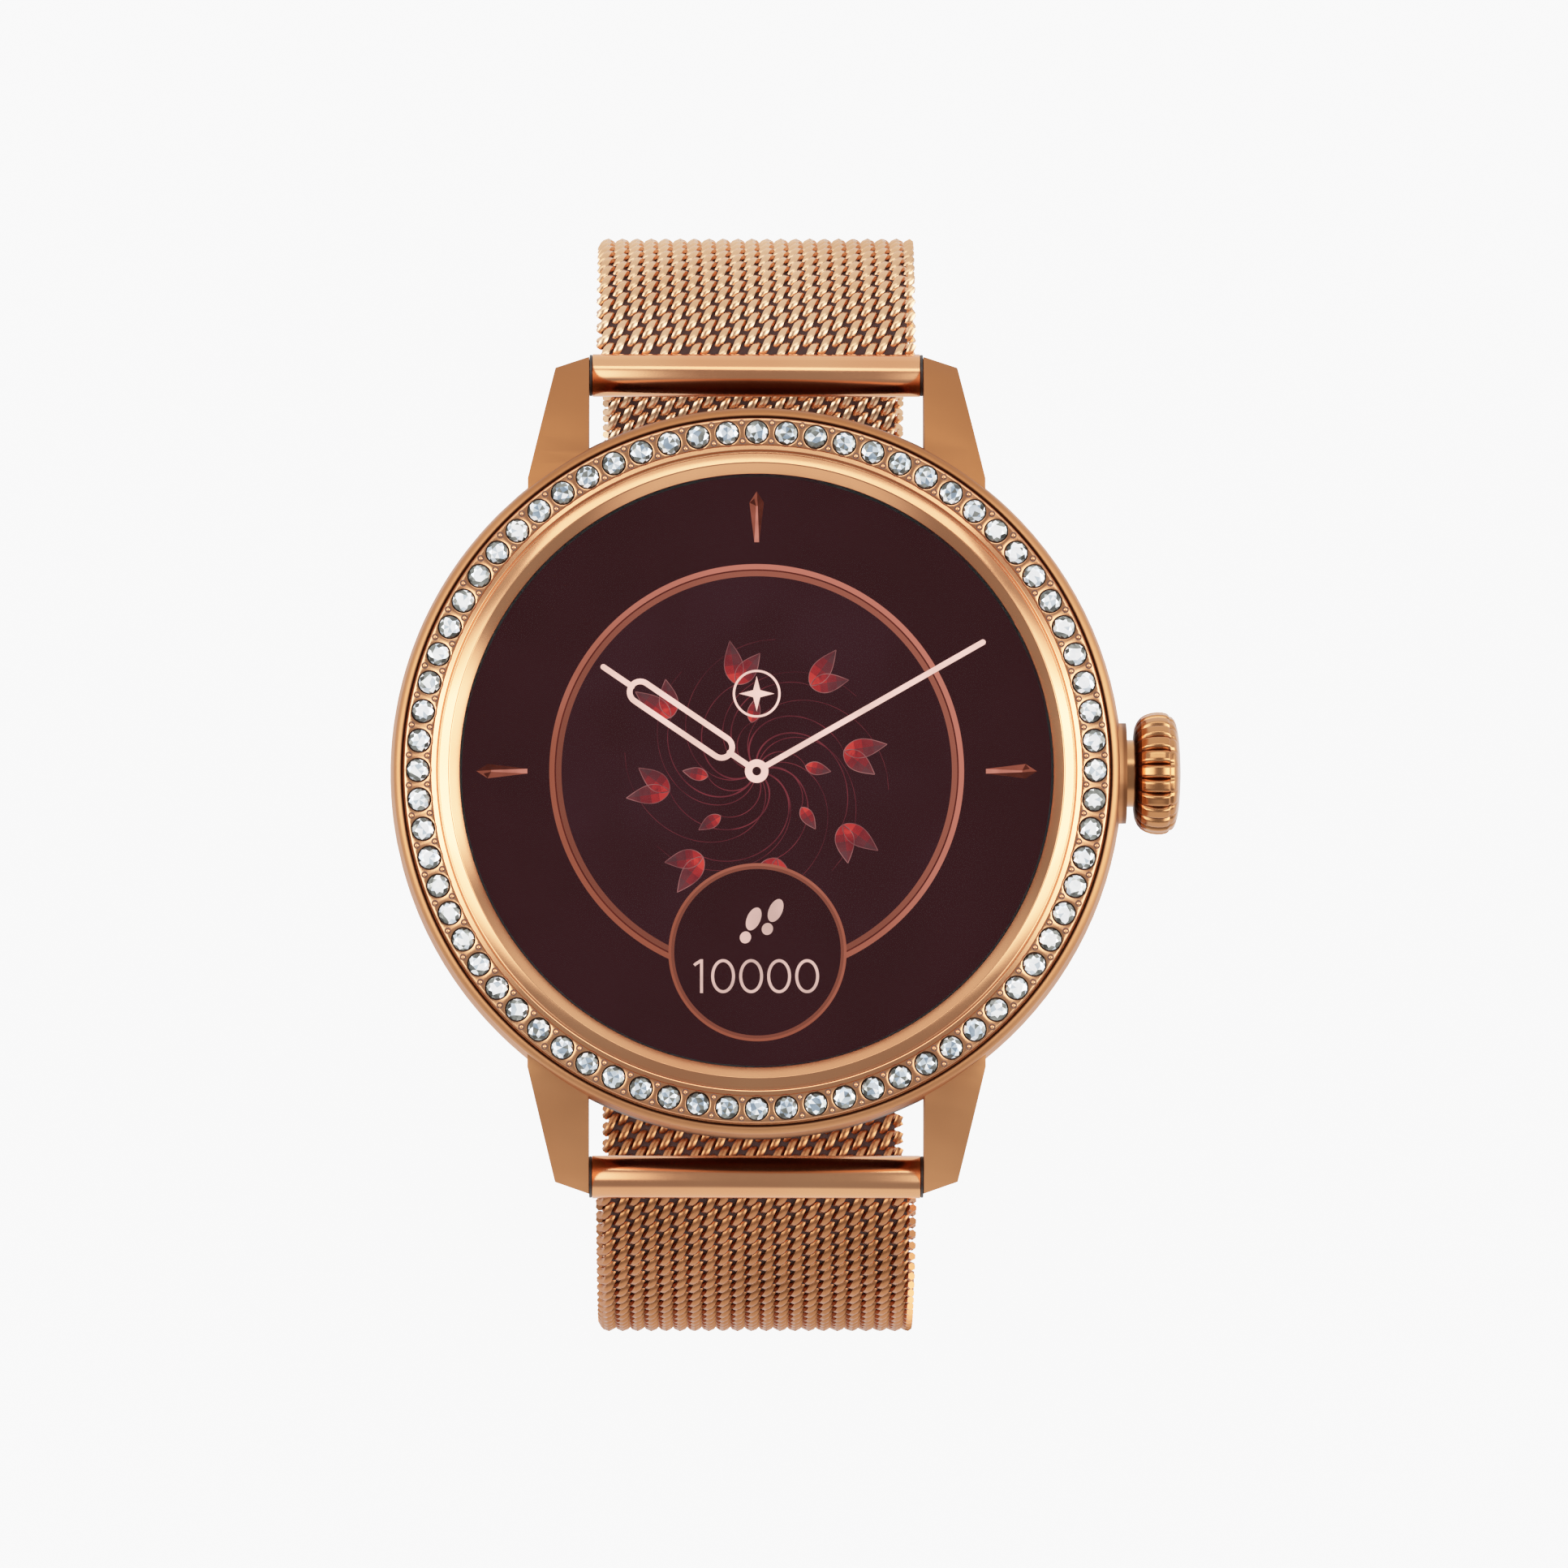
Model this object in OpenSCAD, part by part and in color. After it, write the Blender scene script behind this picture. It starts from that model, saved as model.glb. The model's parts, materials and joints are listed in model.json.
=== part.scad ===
// Round smartwatch on a closed mesh strap.
// The dial faces +Z, 12 o'clock is +Y and the crown is at +X.
// The origin is the centre of the sensor window's outer face, on the back of the case.

/* [Case] */
// Outer diameter of the case
case_d = 43.6; // [43:0.2:54]
// Height of the case middle's underside above the back face
case_z = 1.4; // [1.2:0.1:2]
// Height of the case middle
case_h = 8.5; // [8.3:0.1:10.5]
// Radius of the barrel curve down the side of the case
side_round = 12; // [9:1:20]
// Thickness of the case's wall round the electronics
case_wall = 3.4; // [3.2:0.1:3.8]

/* [Bezel and glass] */
// Width of the case's shoulder outside the bezel
shoulder_w = 0.92; // [0.8:0.02:1.2]
// Width of the bezel, from its outer edge to the screen
bezel_w = 3.3; // [3.1:0.1:3.8]
// Height of the bezel above the top of the case middle
bezel_rise = 1.3; // [1:0.1:1.8]
// Thickness of the cover glass
glass_t = 0.9; // [0.6:0.1:1.1]
// Diameter of one stone
stone_d = 1.38; // [1:0.02:1.7]
// Space between neighbouring stones
stone_space = 0.37; // [0.2:0.01:0.6]
// Width of the metal outside the stones
stone_margin = 0.14; // [0.12:0.02:0.3]

/* [Lugs and strap] */
// Width between the lugs
lug_gap = 20; // [16:1:22]
// Distance from the side of the case to each spring bar
bar_offset = 2.2; // [2:0.1:3]
// Height of the spring bars above the back face
bar_z = 2.6; // [2.3:0.1:3]
// Diameter of the tubes on the strap ends
end_tube_d = 2.56; // [2.4:0.02:3.1]
// Gap between the mesh and the lug beside it
mesh_gap = 0.35; // [0.3:0.05:0.6]
// Thickness of the mesh
mesh_t = 1.4; // [1:0.1:1.7]
// Distance that the strap bulges out past the spring bars
strap_bulge = 8.6; // [7:0.2:11]
// Depth of the strap's lowest middle line below the back face
strap_drop = 50; // [46:1:60]
// Angle below level at which the upper strap leaves its bar
upper_angle = 25; // [20:1:35]
// Angle below level at which the lower strap leaves its bar
lower_angle = 44; // [35:1:48]
// Radius of the bends at the bottom of the loop
low_bend_r = 20.6; // [18:0.2:21]

/* [Crown] */
// Diameter of the crown
crown_d = 7.3; // [6:0.1:7.4]
// Length of the fluted crown
crown_l = 2.8; // [2:0.1:3.4]
// Number of flutes round the crown
flute_count = 24; // [16:1:30]
// Distance of the crown's axis below the top of the case middle
crown_drop = 3.7; // [3.6:0.1:4]
// Travel of the crown when it is pressed
crown_travel = 0.4; // [0.3:0.05:0.45]
// Diameter of the stem where it passes through its tube
stem_d = 2; // [1.6:0.1:2.2]

/* [Clasp] */
// Gap between the mesh and the clasp's side walls
clasp_gap = 0.2; // [0.15:0.05:0.4]
// Thickness of the clasp's plates
plate_t = 0.7; // [0.5:0.1:0.8]
// Thickness of the clasp's side walls
wall_t = 0.55; // [0.4:0.05:0.6]
// Diameter of the clasp's hinge pins
pin_d = 0.9; // [0.7:0.1:1]
// Diameter of the bar on the upper strap's end
catch_bar_d = 1.2; // [1:0.1:1.3]
// Free play between the catch and the bar along the strap
catch_play = 1.2; // [1.2:0.1:1.4]

/* [Clearances] */
// Gap between a turning or sliding pair, on the radius
run_gap = 0.05; // [0.02:0.01:0.08]
// Gap round a piece that drops into its seat
seat_gap = 0.1; // [0.05:0.01:0.12]
// Gap between neighbouring pieces that move apart
move_gap = 0.2; // [0.15:0.05:0.25]

/* [Hidden] */
$fn = 96;

rose = [0.72, 0.47, 0.34];
bright_rose = [0.88, 0.66, 0.52];
case_r = case_d / 2;
case_top = case_z + case_h;
pocket_r = case_r - case_wall;
bezel_r = case_r - shoulder_w;
bezel_top = case_top + bezel_rise;
screen_r = bezel_r - bezel_w;
stone_ring_r = bezel_r - stone_margin - stone_d / 2;
stone_count = round(2 * PI * stone_ring_r / (stone_d + stone_space));
stone_seat_z = bezel_top - 0.74;
stone_fit = 0.02;

// Levels of the display stack, from the bezel down
bezel_seat_z = case_top - 0.4;
seal_ring_r = [bezel_r - 1.5, bezel_r - 0.9];
seal_t = 0.3;
lip_z = bezel_top - 0.65;
glass_top = lip_z - 0.05;
glass_r = screen_r + 0.5;
glass_z = glass_top - glass_t;
gasket_t = 0.3;
ledge_z = glass_z - gasket_t;
ledge_r = screen_r - 0.2;
ledge_t = 0.8;
panel_r = ledge_r - 2 * seat_gap;
panel_t = 0.8;
panel_z = glass_z - panel_t;
ceiling_z = ledge_z - ledge_t;

// Rear cover and sensor
cover_z = case_z - 0.4;
cover_top = case_z + 1.0;
cover_r = pocket_r + 0.4;
cover_groove_z = [cover_z + 0.62, cover_z + 1.18];
cover_groove_r = cover_r - 0.45;
plateau_r = pocket_r - 3.9;
well_r = pocket_r - 4.8;
window_r = 7.5;
window_flange = 0.7;
window_t = 0.4;
window_fit = 0.02;
sensor_r = 9;
sensor_z = cover_z + 0.5;
sensor_t = 0.6;
screw_r = 0.55;
screw_fit = 0.01;
screw_head_r = screw_r + 0.4;
screw_ring_r = pocket_r - 1.4;
screw_boss_r = 1.5;
screw_boss_h = 3.2;
contact_y = 2.4 - well_r;
contact_x = 1.6;
contact_r = 0.8;
insulator_r = 1.2;

// Lugs, whose roots stay outside the rear cover's seat
lug_x = [lug_gap / 2, lug_gap / 2 + 3.6];
lug_root_y = sqrt(pow(cover_r + seat_gap + 0.2, 2) - pow(lug_x[0], 2));
lug_corner_y = sqrt(pow(case_r, 2) - pow(lug_x[1], 2)) + 0.46;
bar_y = case_r + bar_offset;
lug_end_y = bar_y + 1;
lug_arch_r = 18.25;
lug_arch = [bar_y - 11, bar_z - 12.1];

// Electronics
frame_t = 0.7;
frame_z = ceiling_z - frame_t;
board_t = 0.8;
board_z = frame_z - 0.2 - board_t;
board_r = pocket_r - 0.5;
battery_x = [8.8 - pocket_r, pocket_r - 7.8];
battery_corner_d = pocket_r - 4.17;
battery_y = sqrt(pow(battery_corner_d, 2) - pow(battery_x[1], 2));
battery_z = sensor_z + sensor_t + 0.4;
battery_t = board_z - 0.7 - battery_z;
battery_corner_r = 1.5;
notch_x = battery_x[1] + 0.15;
notch_y = 4.5;
chip_h = 0.9;
can_x = [1.5, 9];
can_y = [2.9 - pocket_r, 8.1 - pocket_r];
can_h = 1.4;
can_t = 0.2;
low_parts_z = cover_top + 0.6;
motor_r = 3.2;
motor_h = 2.7;
speaker_x = [2 - pocket_r, 8.2 - pocket_r];
speaker_y = 5;
speaker_h = 2.6;
sound_slot_z = [low_parts_z + 0.9, low_parts_z + 1.5];
mic_turn = -35;
mic_h = 1.1;
port_r = 0.3;
flex_t = 0.2;

// Crown
crown_z = case_top - crown_drop;
boss_r = 3.0;
boss_x = case_r + 0.2;
recess_depth = 0.8;
neck_r = 2.0;
crown_x = boss_x + crown_travel + 0.05;
tube_r = stem_d / 2 + 0.5;
tube_in_x = pocket_r - 0.5;
tube_out_x = boss_x - recess_depth;
thin_stem_r = 0.6;
flat_depth = 0.2;
stem_in_x = pocket_r - 4.55;
shoulder_x = tube_in_x - 1.0;
stem_out_x = crown_x + 1.6;
clip_t = 0.3;
clip_x = tube_in_x - clip_t - 0.1;
clip_groove_r = stem_d / 2 - 0.25;
seal_groove_r = stem_d / 2 - 0.22;
seal_w = 0.55;
seal_x = [tube_in_x + 1.5, tube_in_x + 2.4];
wheel_x = pocket_r - 3.8;
wheel_t = 1.0;
wheel_r = 1.4;
switch_x = stem_in_x - crown_travel - 0.15;
crown_flex_t = 0.25;
crown_flex_z = crown_z - 2.9;
flute_r = 0.3;

// Spring bars
end_tube_r = end_tube_d / 2;
end_tube_l = lug_gap - 2 * move_gap;
barrel_r = 0.75;
bore_r = 0.5;
tip_r = 0.4;
tip_reach = 1.3;
hole_depth = 1.5;
tip_travel = 1.35;
rod_r = bore_r - run_gap;
rod_in_x = lug_gap / 2 - 5;
rod_l = 3.8;
cap_t = 0.5;
lever_x = lug_gap / 2 - 3.2;
lever_r = 0.3;
lever_reach = end_tube_r + 0.72;
upper_tilt = -20;
lower_tilt = 20;
spring_seat_x = lug_gap / 2 - 11;
spring_wire_r = 0.07;
spring_turns = 12;

// Strap path in the Y and Z plane, on its middle line
mesh_w = lug_gap - 2 * mesh_gap;
strap_reach = bar_y + strap_bulge;
upper_r = (strap_reach - bar_y) / (1 - sin(upper_angle));
lower_r = (strap_reach - bar_y) / (1 - sin(lower_angle));
flat_y = strap_reach - low_bend_r;
lower_z = -strap_drop;
layer_gap = 0.4;
upper_z = lower_z - mesh_t - layer_gap;

// Clasp, with the outer side down
base_z = upper_z - mesh_t / 2 - move_gap - plate_t;
clasp_in_w = mesh_w + 2 * clasp_gap;
clasp_w = clasp_in_w + 2 * wall_t;
hinge_z = base_z + 1.1;
knuckle_r = 0.95;
nose_r = 1.0;
knuckle_x = clasp_in_w / 2 - move_gap;
lock_y = 1.1 - flat_y;
cover_y = -1.5;
catch_bar_y = 2.0;
catch_y = catch_bar_y + catch_bar_d / 2 + catch_play;
catch_hold = 0.5;
catch_t = 0.8;
loop_end_y = catch_y + catch_t + 0.4;
loop_arm_w = 1.2;
tail_y = 4.0;
tail_cap_l = 1.5;
cover_end_y = 9.5;
lock_end_y = -3.4;
lip_x = 5;
skin_plate_t = 0.5;
skin_gap = 0.15;

// Shapes

module tube_z(ro, ri, z0, z1) {
    translate([0, 0, z0])
    difference() {
        cylinder(r=ro, h=z1 - z0);
        translate([0, 0, -1])
        cylinder(r=ri, h=z1 - z0 + 2);
    }
}

module disc(r, z0, z1) {
    translate([0, 0, z0])
    cylinder(r=r, h=z1 - z0);
}

module rod_x(r, x0, x1) {
    translate([x0, 0, 0])
    rotate([0, 90, 0])
    cylinder(r=r, h=x1 - x0);
}

module block(x, y, z) {
    translate([x[0], y[0], z[0]])
    cube([x[1] - x[0], y[1] - y[0], z[1] - z[0]]);
}

module along_x(w) {
    rotate([90, 0, 90])
    linear_extrude(w, center=true)
    children();
}

module around(count, start=0) {
    for (i = [0:count - 1])
        rotate([0, 0, start + i * 360 / count])
        children();
}

module at_crown() {
    translate([0, 0, crown_z])
    children();
}

// Case

module case_section() {
    intersection() {
        polygon([[cover_r + seat_gap, case_z], [case_r, case_z], [case_r, case_top],
            [bezel_r + seat_gap, case_top], [bezel_r + seat_gap, bezel_seat_z],
            [glass_r + 2 * seat_gap, bezel_seat_z], [glass_r + 2 * seat_gap, ledge_z],
            [ledge_r, ledge_z], [ledge_r, ceiling_z], [pocket_r, ceiling_z],
            [pocket_r, cover_top], [cover_r + seat_gap, cover_top]]);
        translate([case_r - side_round, case_top - 3.9])
        circle(side_round, $fn=180);
    }
}

module lug_plan() {
    polygon([[lug_x[0], lug_root_y], [lug_x[0], lug_end_y], [lug_x[0] + 2, lug_end_y - 0.7],
        [lug_x[1], lug_corner_y], [lug_x[1], lug_root_y]]);
}

module lug_side() {
    intersection() {
        polygon([[lug_root_y - 1, case_z + 0.2], [bar_y - 3, case_z],
            [lug_end_y + 0.2, bar_z - 1.7], [lug_end_y + 0.2, bezel_top],
            [lug_root_y - 1, bezel_top]]);
        translate(lug_arch)
        circle(lug_arch_r, $fn=180);
    }
}

module lug() {
    difference() {
        intersection() {
            linear_extrude(bezel_top)
            lug_plan();
            translate([(lug_x[0] + lug_x[1]) / 2, 0, 0])
            along_x(lug_x[1] - lug_x[0] + 1)
            lug_side();
        }
        translate([0, bar_y, bar_z])
        rod_x(tip_r + run_gap, lug_x[0] - 1, lug_x[0] + hole_depth);
    }
}

module mid_case() {
    color(rose)
    difference() {
        union() {
            rotate_extrude($fn=180)
            case_section();
            for (side = [0, 1])
                mirror([side, 0, 0])
                for (end = [0, 1])
                    mirror([0, end, 0])
                    lug();
            at_crown()
            rod_x(boss_r, pocket_r + 0.6, boss_x);
            around(4, 45)
            translate([screw_ring_r, 0, cover_top])
            cylinder(r=screw_boss_r, h=screw_boss_h);
        }
        around(4, 45)
        translate([screw_ring_r, 0, cover_top - 1])
        cylinder(r=screw_r + screw_fit, h=screw_boss_h);
        tube_z(seal_ring_r[1], seal_ring_r[0], bezel_seat_z - seal_t, bezel_seat_z + 0.1);
        at_crown()
        rod_x(tube_r, pocket_r - 1, boss_x + 1);
        at_crown()
        rod_x(neck_r + seat_gap, tube_out_x, boss_x + 1);
        for (i = [-1:1])
            block([-case_r - 1, 1 - pocket_r], [i * 2.6 - 0.9, i * 2.6 + 0.9], sound_slot_z);
        rotate([0, 0, mic_turn])
        translate([0, 0, board_z - mic_h / 2])
        rod_x(port_r, pocket_r - 1, case_r + 1);
    }
}

// The profile has a sloped inner edge, a fine groove and a sunk track for the stones
module bezel_section() {
    track_r = stone_ring_r - stone_d / 2 - stone_fit;
    polygon([[screen_r, lip_z], [screen_r, lip_z + 0.15], [screen_r + 0.57, bezel_top],
        [track_r - 0.54, bezel_top], [track_r - 0.48, bezel_top - 0.1],
        [track_r - 0.4, bezel_top - 0.1], [track_r - 0.34, bezel_top],
        [track_r - 0.06, bezel_top], [track_r, bezel_top - 0.14],
        [bezel_r - 0.1, bezel_top - 0.14], [bezel_r, bezel_top - 0.3], [bezel_r, bezel_seat_z],
        [glass_r + seat_gap, bezel_seat_z], [glass_r + seat_gap, lip_z]]);
}

module bezel_ring() {
    color(bright_rose)
    difference() {
        rotate_extrude($fn=120)
        bezel_section();
        around(stone_count)
        translate([0, stone_ring_r, stone_seat_z])
        cylinder(r=stone_d / 2 + stone_fit, h=1, $fn=16);
    }
}

module bezel_stones() {
    girdle = stone_d / 2;
    color([0.9, 0.93, 0.97])
    around(stone_count)
    translate([0, stone_ring_r, stone_seat_z])
    rotate_extrude($fn=24)
    polygon([[0, 0.04], [girdle * 0.4, 0.04], [girdle, 0.36], [girdle, 0.6],
        [girdle * 0.62, 0.78], [0, 0.78]]);
}

module bezel_seal() {
    color([0.12, 0.12, 0.12])
    tube_z(seal_ring_r[1], seal_ring_r[0], bezel_seat_z - seal_t, bezel_seat_z);
}

module cover_glass() {
    color([0.6, 0.7, 0.75, 0.4])
    disc(glass_r, glass_z, glass_top);
}

module glass_gasket() {
    color([0.1, 0.1, 0.1])
    tube_z(glass_r, ledge_r + seat_gap, ledge_z, glass_z);
}

// Electronics

module display_panel() {
    color([0.2, 0.08, 0.1])
    disc(panel_r, panel_z, glass_z);
}

module display_flex() {
    color([0.85, 0.5, 0.15])
    block([-3, 3], [1.2 - board_r, 1.2 - board_r + flex_t], [board_z + board_t, panel_z]);
}

module inner_frame() {
    color([0.18, 0.18, 0.2])
    difference() {
        union() {
            disc(pocket_r - seat_gap, frame_z, ceiling_z);
            tube_z(board_r - 0.4, board_r - 1.0, board_z + board_t, frame_z + 0.1);
        }
        block([-3.2, 3.2], [-board_r - 1, 1.6 - board_r], [frame_z - 1, ceiling_z + 1]);
        block([-6, 6], [pocket_r - 12.4, pocket_r - 6.4], [frame_z - 1, ceiling_z + 1]);
        block([notch_x, pocket_r], [-notch_y, notch_y], [board_z, frame_z - 0.01]);
    }
}

module main_board() {
    color([0.05, 0.3, 0.18])
    difference() {
        disc(board_r, board_z, board_z + board_t);
        block([notch_x, pocket_r], [-notch_y, notch_y], [board_z - 1, board_z + 2]);
    }
}

module board_chips() {
    row_y = pocket_r - 5.4;
    color([0.1, 0.1, 0.11])
    for (chip = [[-6, row_y, 4, 3], [0.5, row_y, 5, 4], [7, row_y - 0.5, 3.5, 3],
            [4.9 - pocket_r, 8.5, 3, 3]])
        translate([chip[0], chip[1], board_z - chip_h / 2])
        cube([chip[2], chip[3], chip_h], center=true);
}

module shield_can() {
    color([0.75, 0.76, 0.78])
    difference() {
        block(can_x, can_y, [board_z - can_h, board_z]);
        block([can_x[0] + can_t, can_x[1] - can_t], [can_y[0] + can_t, can_y[1] - can_t],
            [board_z - can_h + can_t, board_z + 1]);
    }
}

module battery() {
    corner = battery_corner_r;
    color([0.25, 0.27, 0.3])
    translate([0, 0, battery_z])
    linear_extrude(battery_t)
    union() {
        translate([battery_x[0] + corner, -battery_y])
        square([battery_x[1] - battery_x[0] - 2 * corner, 2 * battery_y]);
        translate([battery_x[0], corner - battery_y])
        square([battery_x[1] - battery_x[0], 2 * (battery_y - corner)]);
        for (x = [battery_x[0] + corner, battery_x[1] - corner])
            for (y = [corner - battery_y, battery_y - corner])
                translate([x, y])
                circle(corner);
    }
}

module battery_lead() {
    color([0.85, 0.5, 0.15])
    block([-9, -6], [battery_y, battery_y + flex_t], [battery_z + 1, board_z]);
}

module foam_pad() {
    color([0.3, 0.3, 0.3])
    disc(sensor_r - 1, sensor_z + sensor_t, battery_z);
}

module vibration_motor() {
    color([0.7, 0.72, 0.75])
    translate([-6, 5 - pocket_r, 0])
    disc(motor_r, low_parts_z, low_parts_z + motor_h);
}

module speaker_module() {
    color([0.12, 0.12, 0.14])
    difference() {
        block(speaker_x, [-speaker_y, speaker_y], [low_parts_z, low_parts_z + speaker_h]);
        block([speaker_x[0] - 1, speaker_x[0] + 1], [1.4 - speaker_y, speaker_y - 1.4],
            [sound_slot_z[0] - 0.1, sound_slot_z[1] + 0.1]);
    }
}

module speaker_mesh() {
    color([0.4, 0.4, 0.42])
    block([speaker_x[0] - 0.3, speaker_x[0]], [1 - speaker_y, speaker_y - 1],
        [sound_slot_z[0] - 0.3, sound_slot_z[1] + 0.3]);
}

module microphone() {
    color([0.75, 0.7, 0.4])
    rotate([0, 0, mic_turn])
    block([pocket_r - 3.8, pocket_r - 1.2], [-1.5, 1.5], [board_z - mic_h, board_z]);
}

module antenna_strip() {
    color([0.85, 0.55, 0.2])
    intersection() {
        tube_z(pocket_r - seat_gap, pocket_r - seat_gap - flex_t, board_z - 1, board_z + board_t);
        block([2.4 - pocket_r, pocket_r - 5.4], [8, pocket_r], [0, bezel_top]);
    }
}

module crown_switch() {
    color([0.15, 0.15, 0.15])
    at_crown()
    union() {
        block([notch_x + crown_flex_t, switch_x - 0.3], [-2, 2], [-1.4, 0.9]);
        rod_x(0.9, switch_x - 0.4, switch_x);
    }
}

module crown_flex() {
    color([0.85, 0.5, 0.15])
    union() {
        block([notch_x, notch_x + crown_flex_t], [-3, 3], [crown_flex_z, board_z + board_t]);
        block([notch_x, wheel_x + wheel_t + 0.6], [-2, 2], [crown_flex_z, crown_flex_z + 0.3]);
    }
}

module encoder_reader() {
    color([0.1, 0.1, 0.12])
    block([wheel_x - 0.2, wheel_x + wheel_t + 0.2], [-1.2, 1.2],
        [crown_flex_z + 0.3, crown_z - wheel_r - 0.2]);
}

// Crown

module keyed_rod(r, x0, x1) {
    difference() {
        rod_x(r, x0, x1);
        block([x0 - 1, x1 + 1], [-2, 2], [r - flat_depth, 2]);
    }
}

module encoder_wheel() {
    color([0.8, 0.8, 0.82])
    at_crown()
    difference() {
        rod_x(wheel_r, wheel_x, wheel_x + wheel_t);
        keyed_rod(thin_stem_r + run_gap, wheel_x - 1, wheel_x + wheel_t + 1);
    }
}

module crown_tube() {
    color([0.75, 0.76, 0.78])
    at_crown()
    difference() {
        rod_x(tube_r, tube_in_x, tube_out_x);
        rod_x(stem_d / 2 + run_gap, tube_in_x - 1, tube_out_x + 1);
    }
}

module crown_stem() {
    color([0.78, 0.79, 0.8])
    at_crown()
    difference() {
        union() {
            keyed_rod(thin_stem_r, stem_in_x, shoulder_x + 0.1);
            rod_x(stem_d / 2, shoulder_x, stem_out_x);
        }
        ring_cut(clip_groove_r, clip_x - 0.02, clip_x + clip_t + 0.02);
        for (x = seal_x)
            ring_cut(seal_groove_r, x - 0.02, x + seal_w + 0.02);
    }
}

module ring_cut(r, x0, x1) {
    difference() {
        rod_x(stem_d, x0, x1);
        rod_x(r, x0 - 1, x1 + 1);
    }
}

module crown_seals() {
    color([0.1, 0.1, 0.1])
    at_crown()
    for (x = seal_x)
        difference() {
            rod_x(stem_d / 2 + run_gap - 0.02, x, x + seal_w);
            rod_x(seal_groove_r + 0.01, x - 1, x + seal_w + 1);
        }
}

module stem_clip() {
    color([0.7, 0.71, 0.73])
    at_crown()
    difference() {
        rod_x(tube_r, clip_x, clip_x + clip_t);
        rod_x(clip_groove_r + 0.01, clip_x - 1, clip_x + clip_t + 1);
        block([clip_x - 1, clip_x + clip_t + 1], [-0.5, 0.5], [-3, 0]);
    }
}

module crown_knob() {
    rim = crown_d / 2;
    skirt = crown_l * 0.72;
    color(rose)
    at_crown()
    difference() {
        union() {
            rod_x(neck_r, boss_x - 0.1, crown_x + 0.1);
            translate([crown_x, 0, 0])
            rotate([0, 90, 0])
            rotate_extrude()
            polygon([[0, 0], [rim - 0.8, 0], [rim - 0.2, 0.35], [rim, skirt * 0.45],
                [rim - 0.08, skirt * 0.8], [rim - 0.3, skirt], [rim - 0.7, crown_l - 0.3],
                [rim - 1.3, crown_l - 0.05], [0, crown_l]]);
        }
        for (i = [0:flute_count - 1])
            rotate([i * 360 / flute_count, 0, 0])
            translate([0, 0, rim + 0.4 * flute_r])
            rod_x(flute_r, crown_x - 0.1, crown_x + skirt);
        rod_x(stem_d / 2, boss_x - 1, stem_out_x);
    }
}

// Sensor and rear cover

module sensor_window() {
    color([0.1, 0.12, 0.15])
    union() {
        disc(window_r, 0, cover_z);
        disc(window_r + window_flange, cover_z - window_t, cover_z);
    }
}

module sensor_board() {
    color([0.05, 0.25, 0.15])
    disc(sensor_r, sensor_z, sensor_z + sensor_t);
}

module sensor_leds() {
    color([0.2, 0.9, 0.4])
    for (x = [-1.1, 1.1])
        for (y = [-0.7, 0.7])
            block([x - 0.5, x + 0.5], [y - 0.4, y + 0.4], [cover_z + 0.1, sensor_z]);
}

module photodiodes() {
    color([0.15, 0.15, 0.25])
    around(4)
    block([4.2, 6.2], [-1, 1], [cover_z + 0.1, sensor_z]);
}

module sensor_baffle() {
    color([0.05, 0.05, 0.05])
    tube_z(3.4, 2.9, cover_z, sensor_z);
}

module rear_cover() {
    color([0.2, 0.2, 0.22])
    difference() {
        rotate_extrude()
        polygon([[0, 0], [plateau_r, 0], [plateau_r + 1, cover_z], [cover_r - 0.4, cover_z],
            [cover_r, cover_z + 0.4], [cover_r, cover_top], [well_r, cover_top],
            [well_r, cover_z], [0, cover_z]]);
        disc(window_r + window_fit, -1, cover_z + 1);
        disc(window_r + window_flange + window_fit, cover_z - window_t - window_fit, cover_z + 1);
        tube_z(cover_r + 1, cover_groove_r, cover_groove_z[0], cover_groove_z[1]);
        around(4, 45)
        translate([screw_ring_r, 0, 0]) {
            disc(screw_r + run_gap, 0, cover_top + 1);
            disc(screw_head_r + run_gap, 0, cover_z + 0.6);
        }
        for (x = [-contact_x, contact_x])
            translate([x, contact_y, -1])
            cylinder(r=insulator_r, h=3);
    }
}

module rear_gasket() {
    color([0.1, 0.1, 0.1])
    tube_z(cover_r + seat_gap - 0.01, cover_groove_r + 0.02, cover_groove_z[0] + 0.02,
        cover_groove_z[1] - 0.02);
}

module rear_screws() {
    color([0.78, 0.79, 0.8])
    around(4, 45)
    translate([screw_ring_r, 0, 0])
    difference() {
        union() {
            disc(screw_head_r, cover_z + 0.05, cover_z + 0.6);
            disc(screw_r, cover_z + 0.5, cover_top + screw_boss_h - 1.2);
        }
        block([-0.15, 0.15], [-2, 2], [cover_z, cover_z + 0.25]);
    }
}

module charging_contacts() {
    color([0.85, 0.7, 0.35])
    for (x = [-contact_x, contact_x])
        translate([x, contact_y, 0])
        disc(contact_r, 0, cover_z + 0.5);
}

module contact_insulators() {
    color([0.9, 0.9, 0.88])
    for (x = [-contact_x, contact_x])
        translate([x, contact_y, 0])
        tube_z(insulator_r, contact_r, 0, cover_z + 0.3);
}

module charging_magnets() {
    color([0.6, 0.6, 0.62])
    for (x = [-6, 6])
        translate([x, contact_y + 1.2, 0])
        disc(1.6, cover_z, cover_z + 1.0);
}

// Strap, drawn in the Y and Z plane for the side towards +Y

module ring_sector(centre, r, from, to) {
    reach = r + mesh_t;
    translate(centre)
    intersection() {
        difference() {
            circle(r + mesh_t / 2, $fn=180);
            circle(r - mesh_t / 2, $fn=180);
        }
        polygon([[0, 0], 2 * reach * [cos(from), sin(from)],
            2 * reach * [cos((from + to) / 2), sin((from + to) / 2)],
            2 * reach * [cos(to), sin(to)]]);
    }
}

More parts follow.
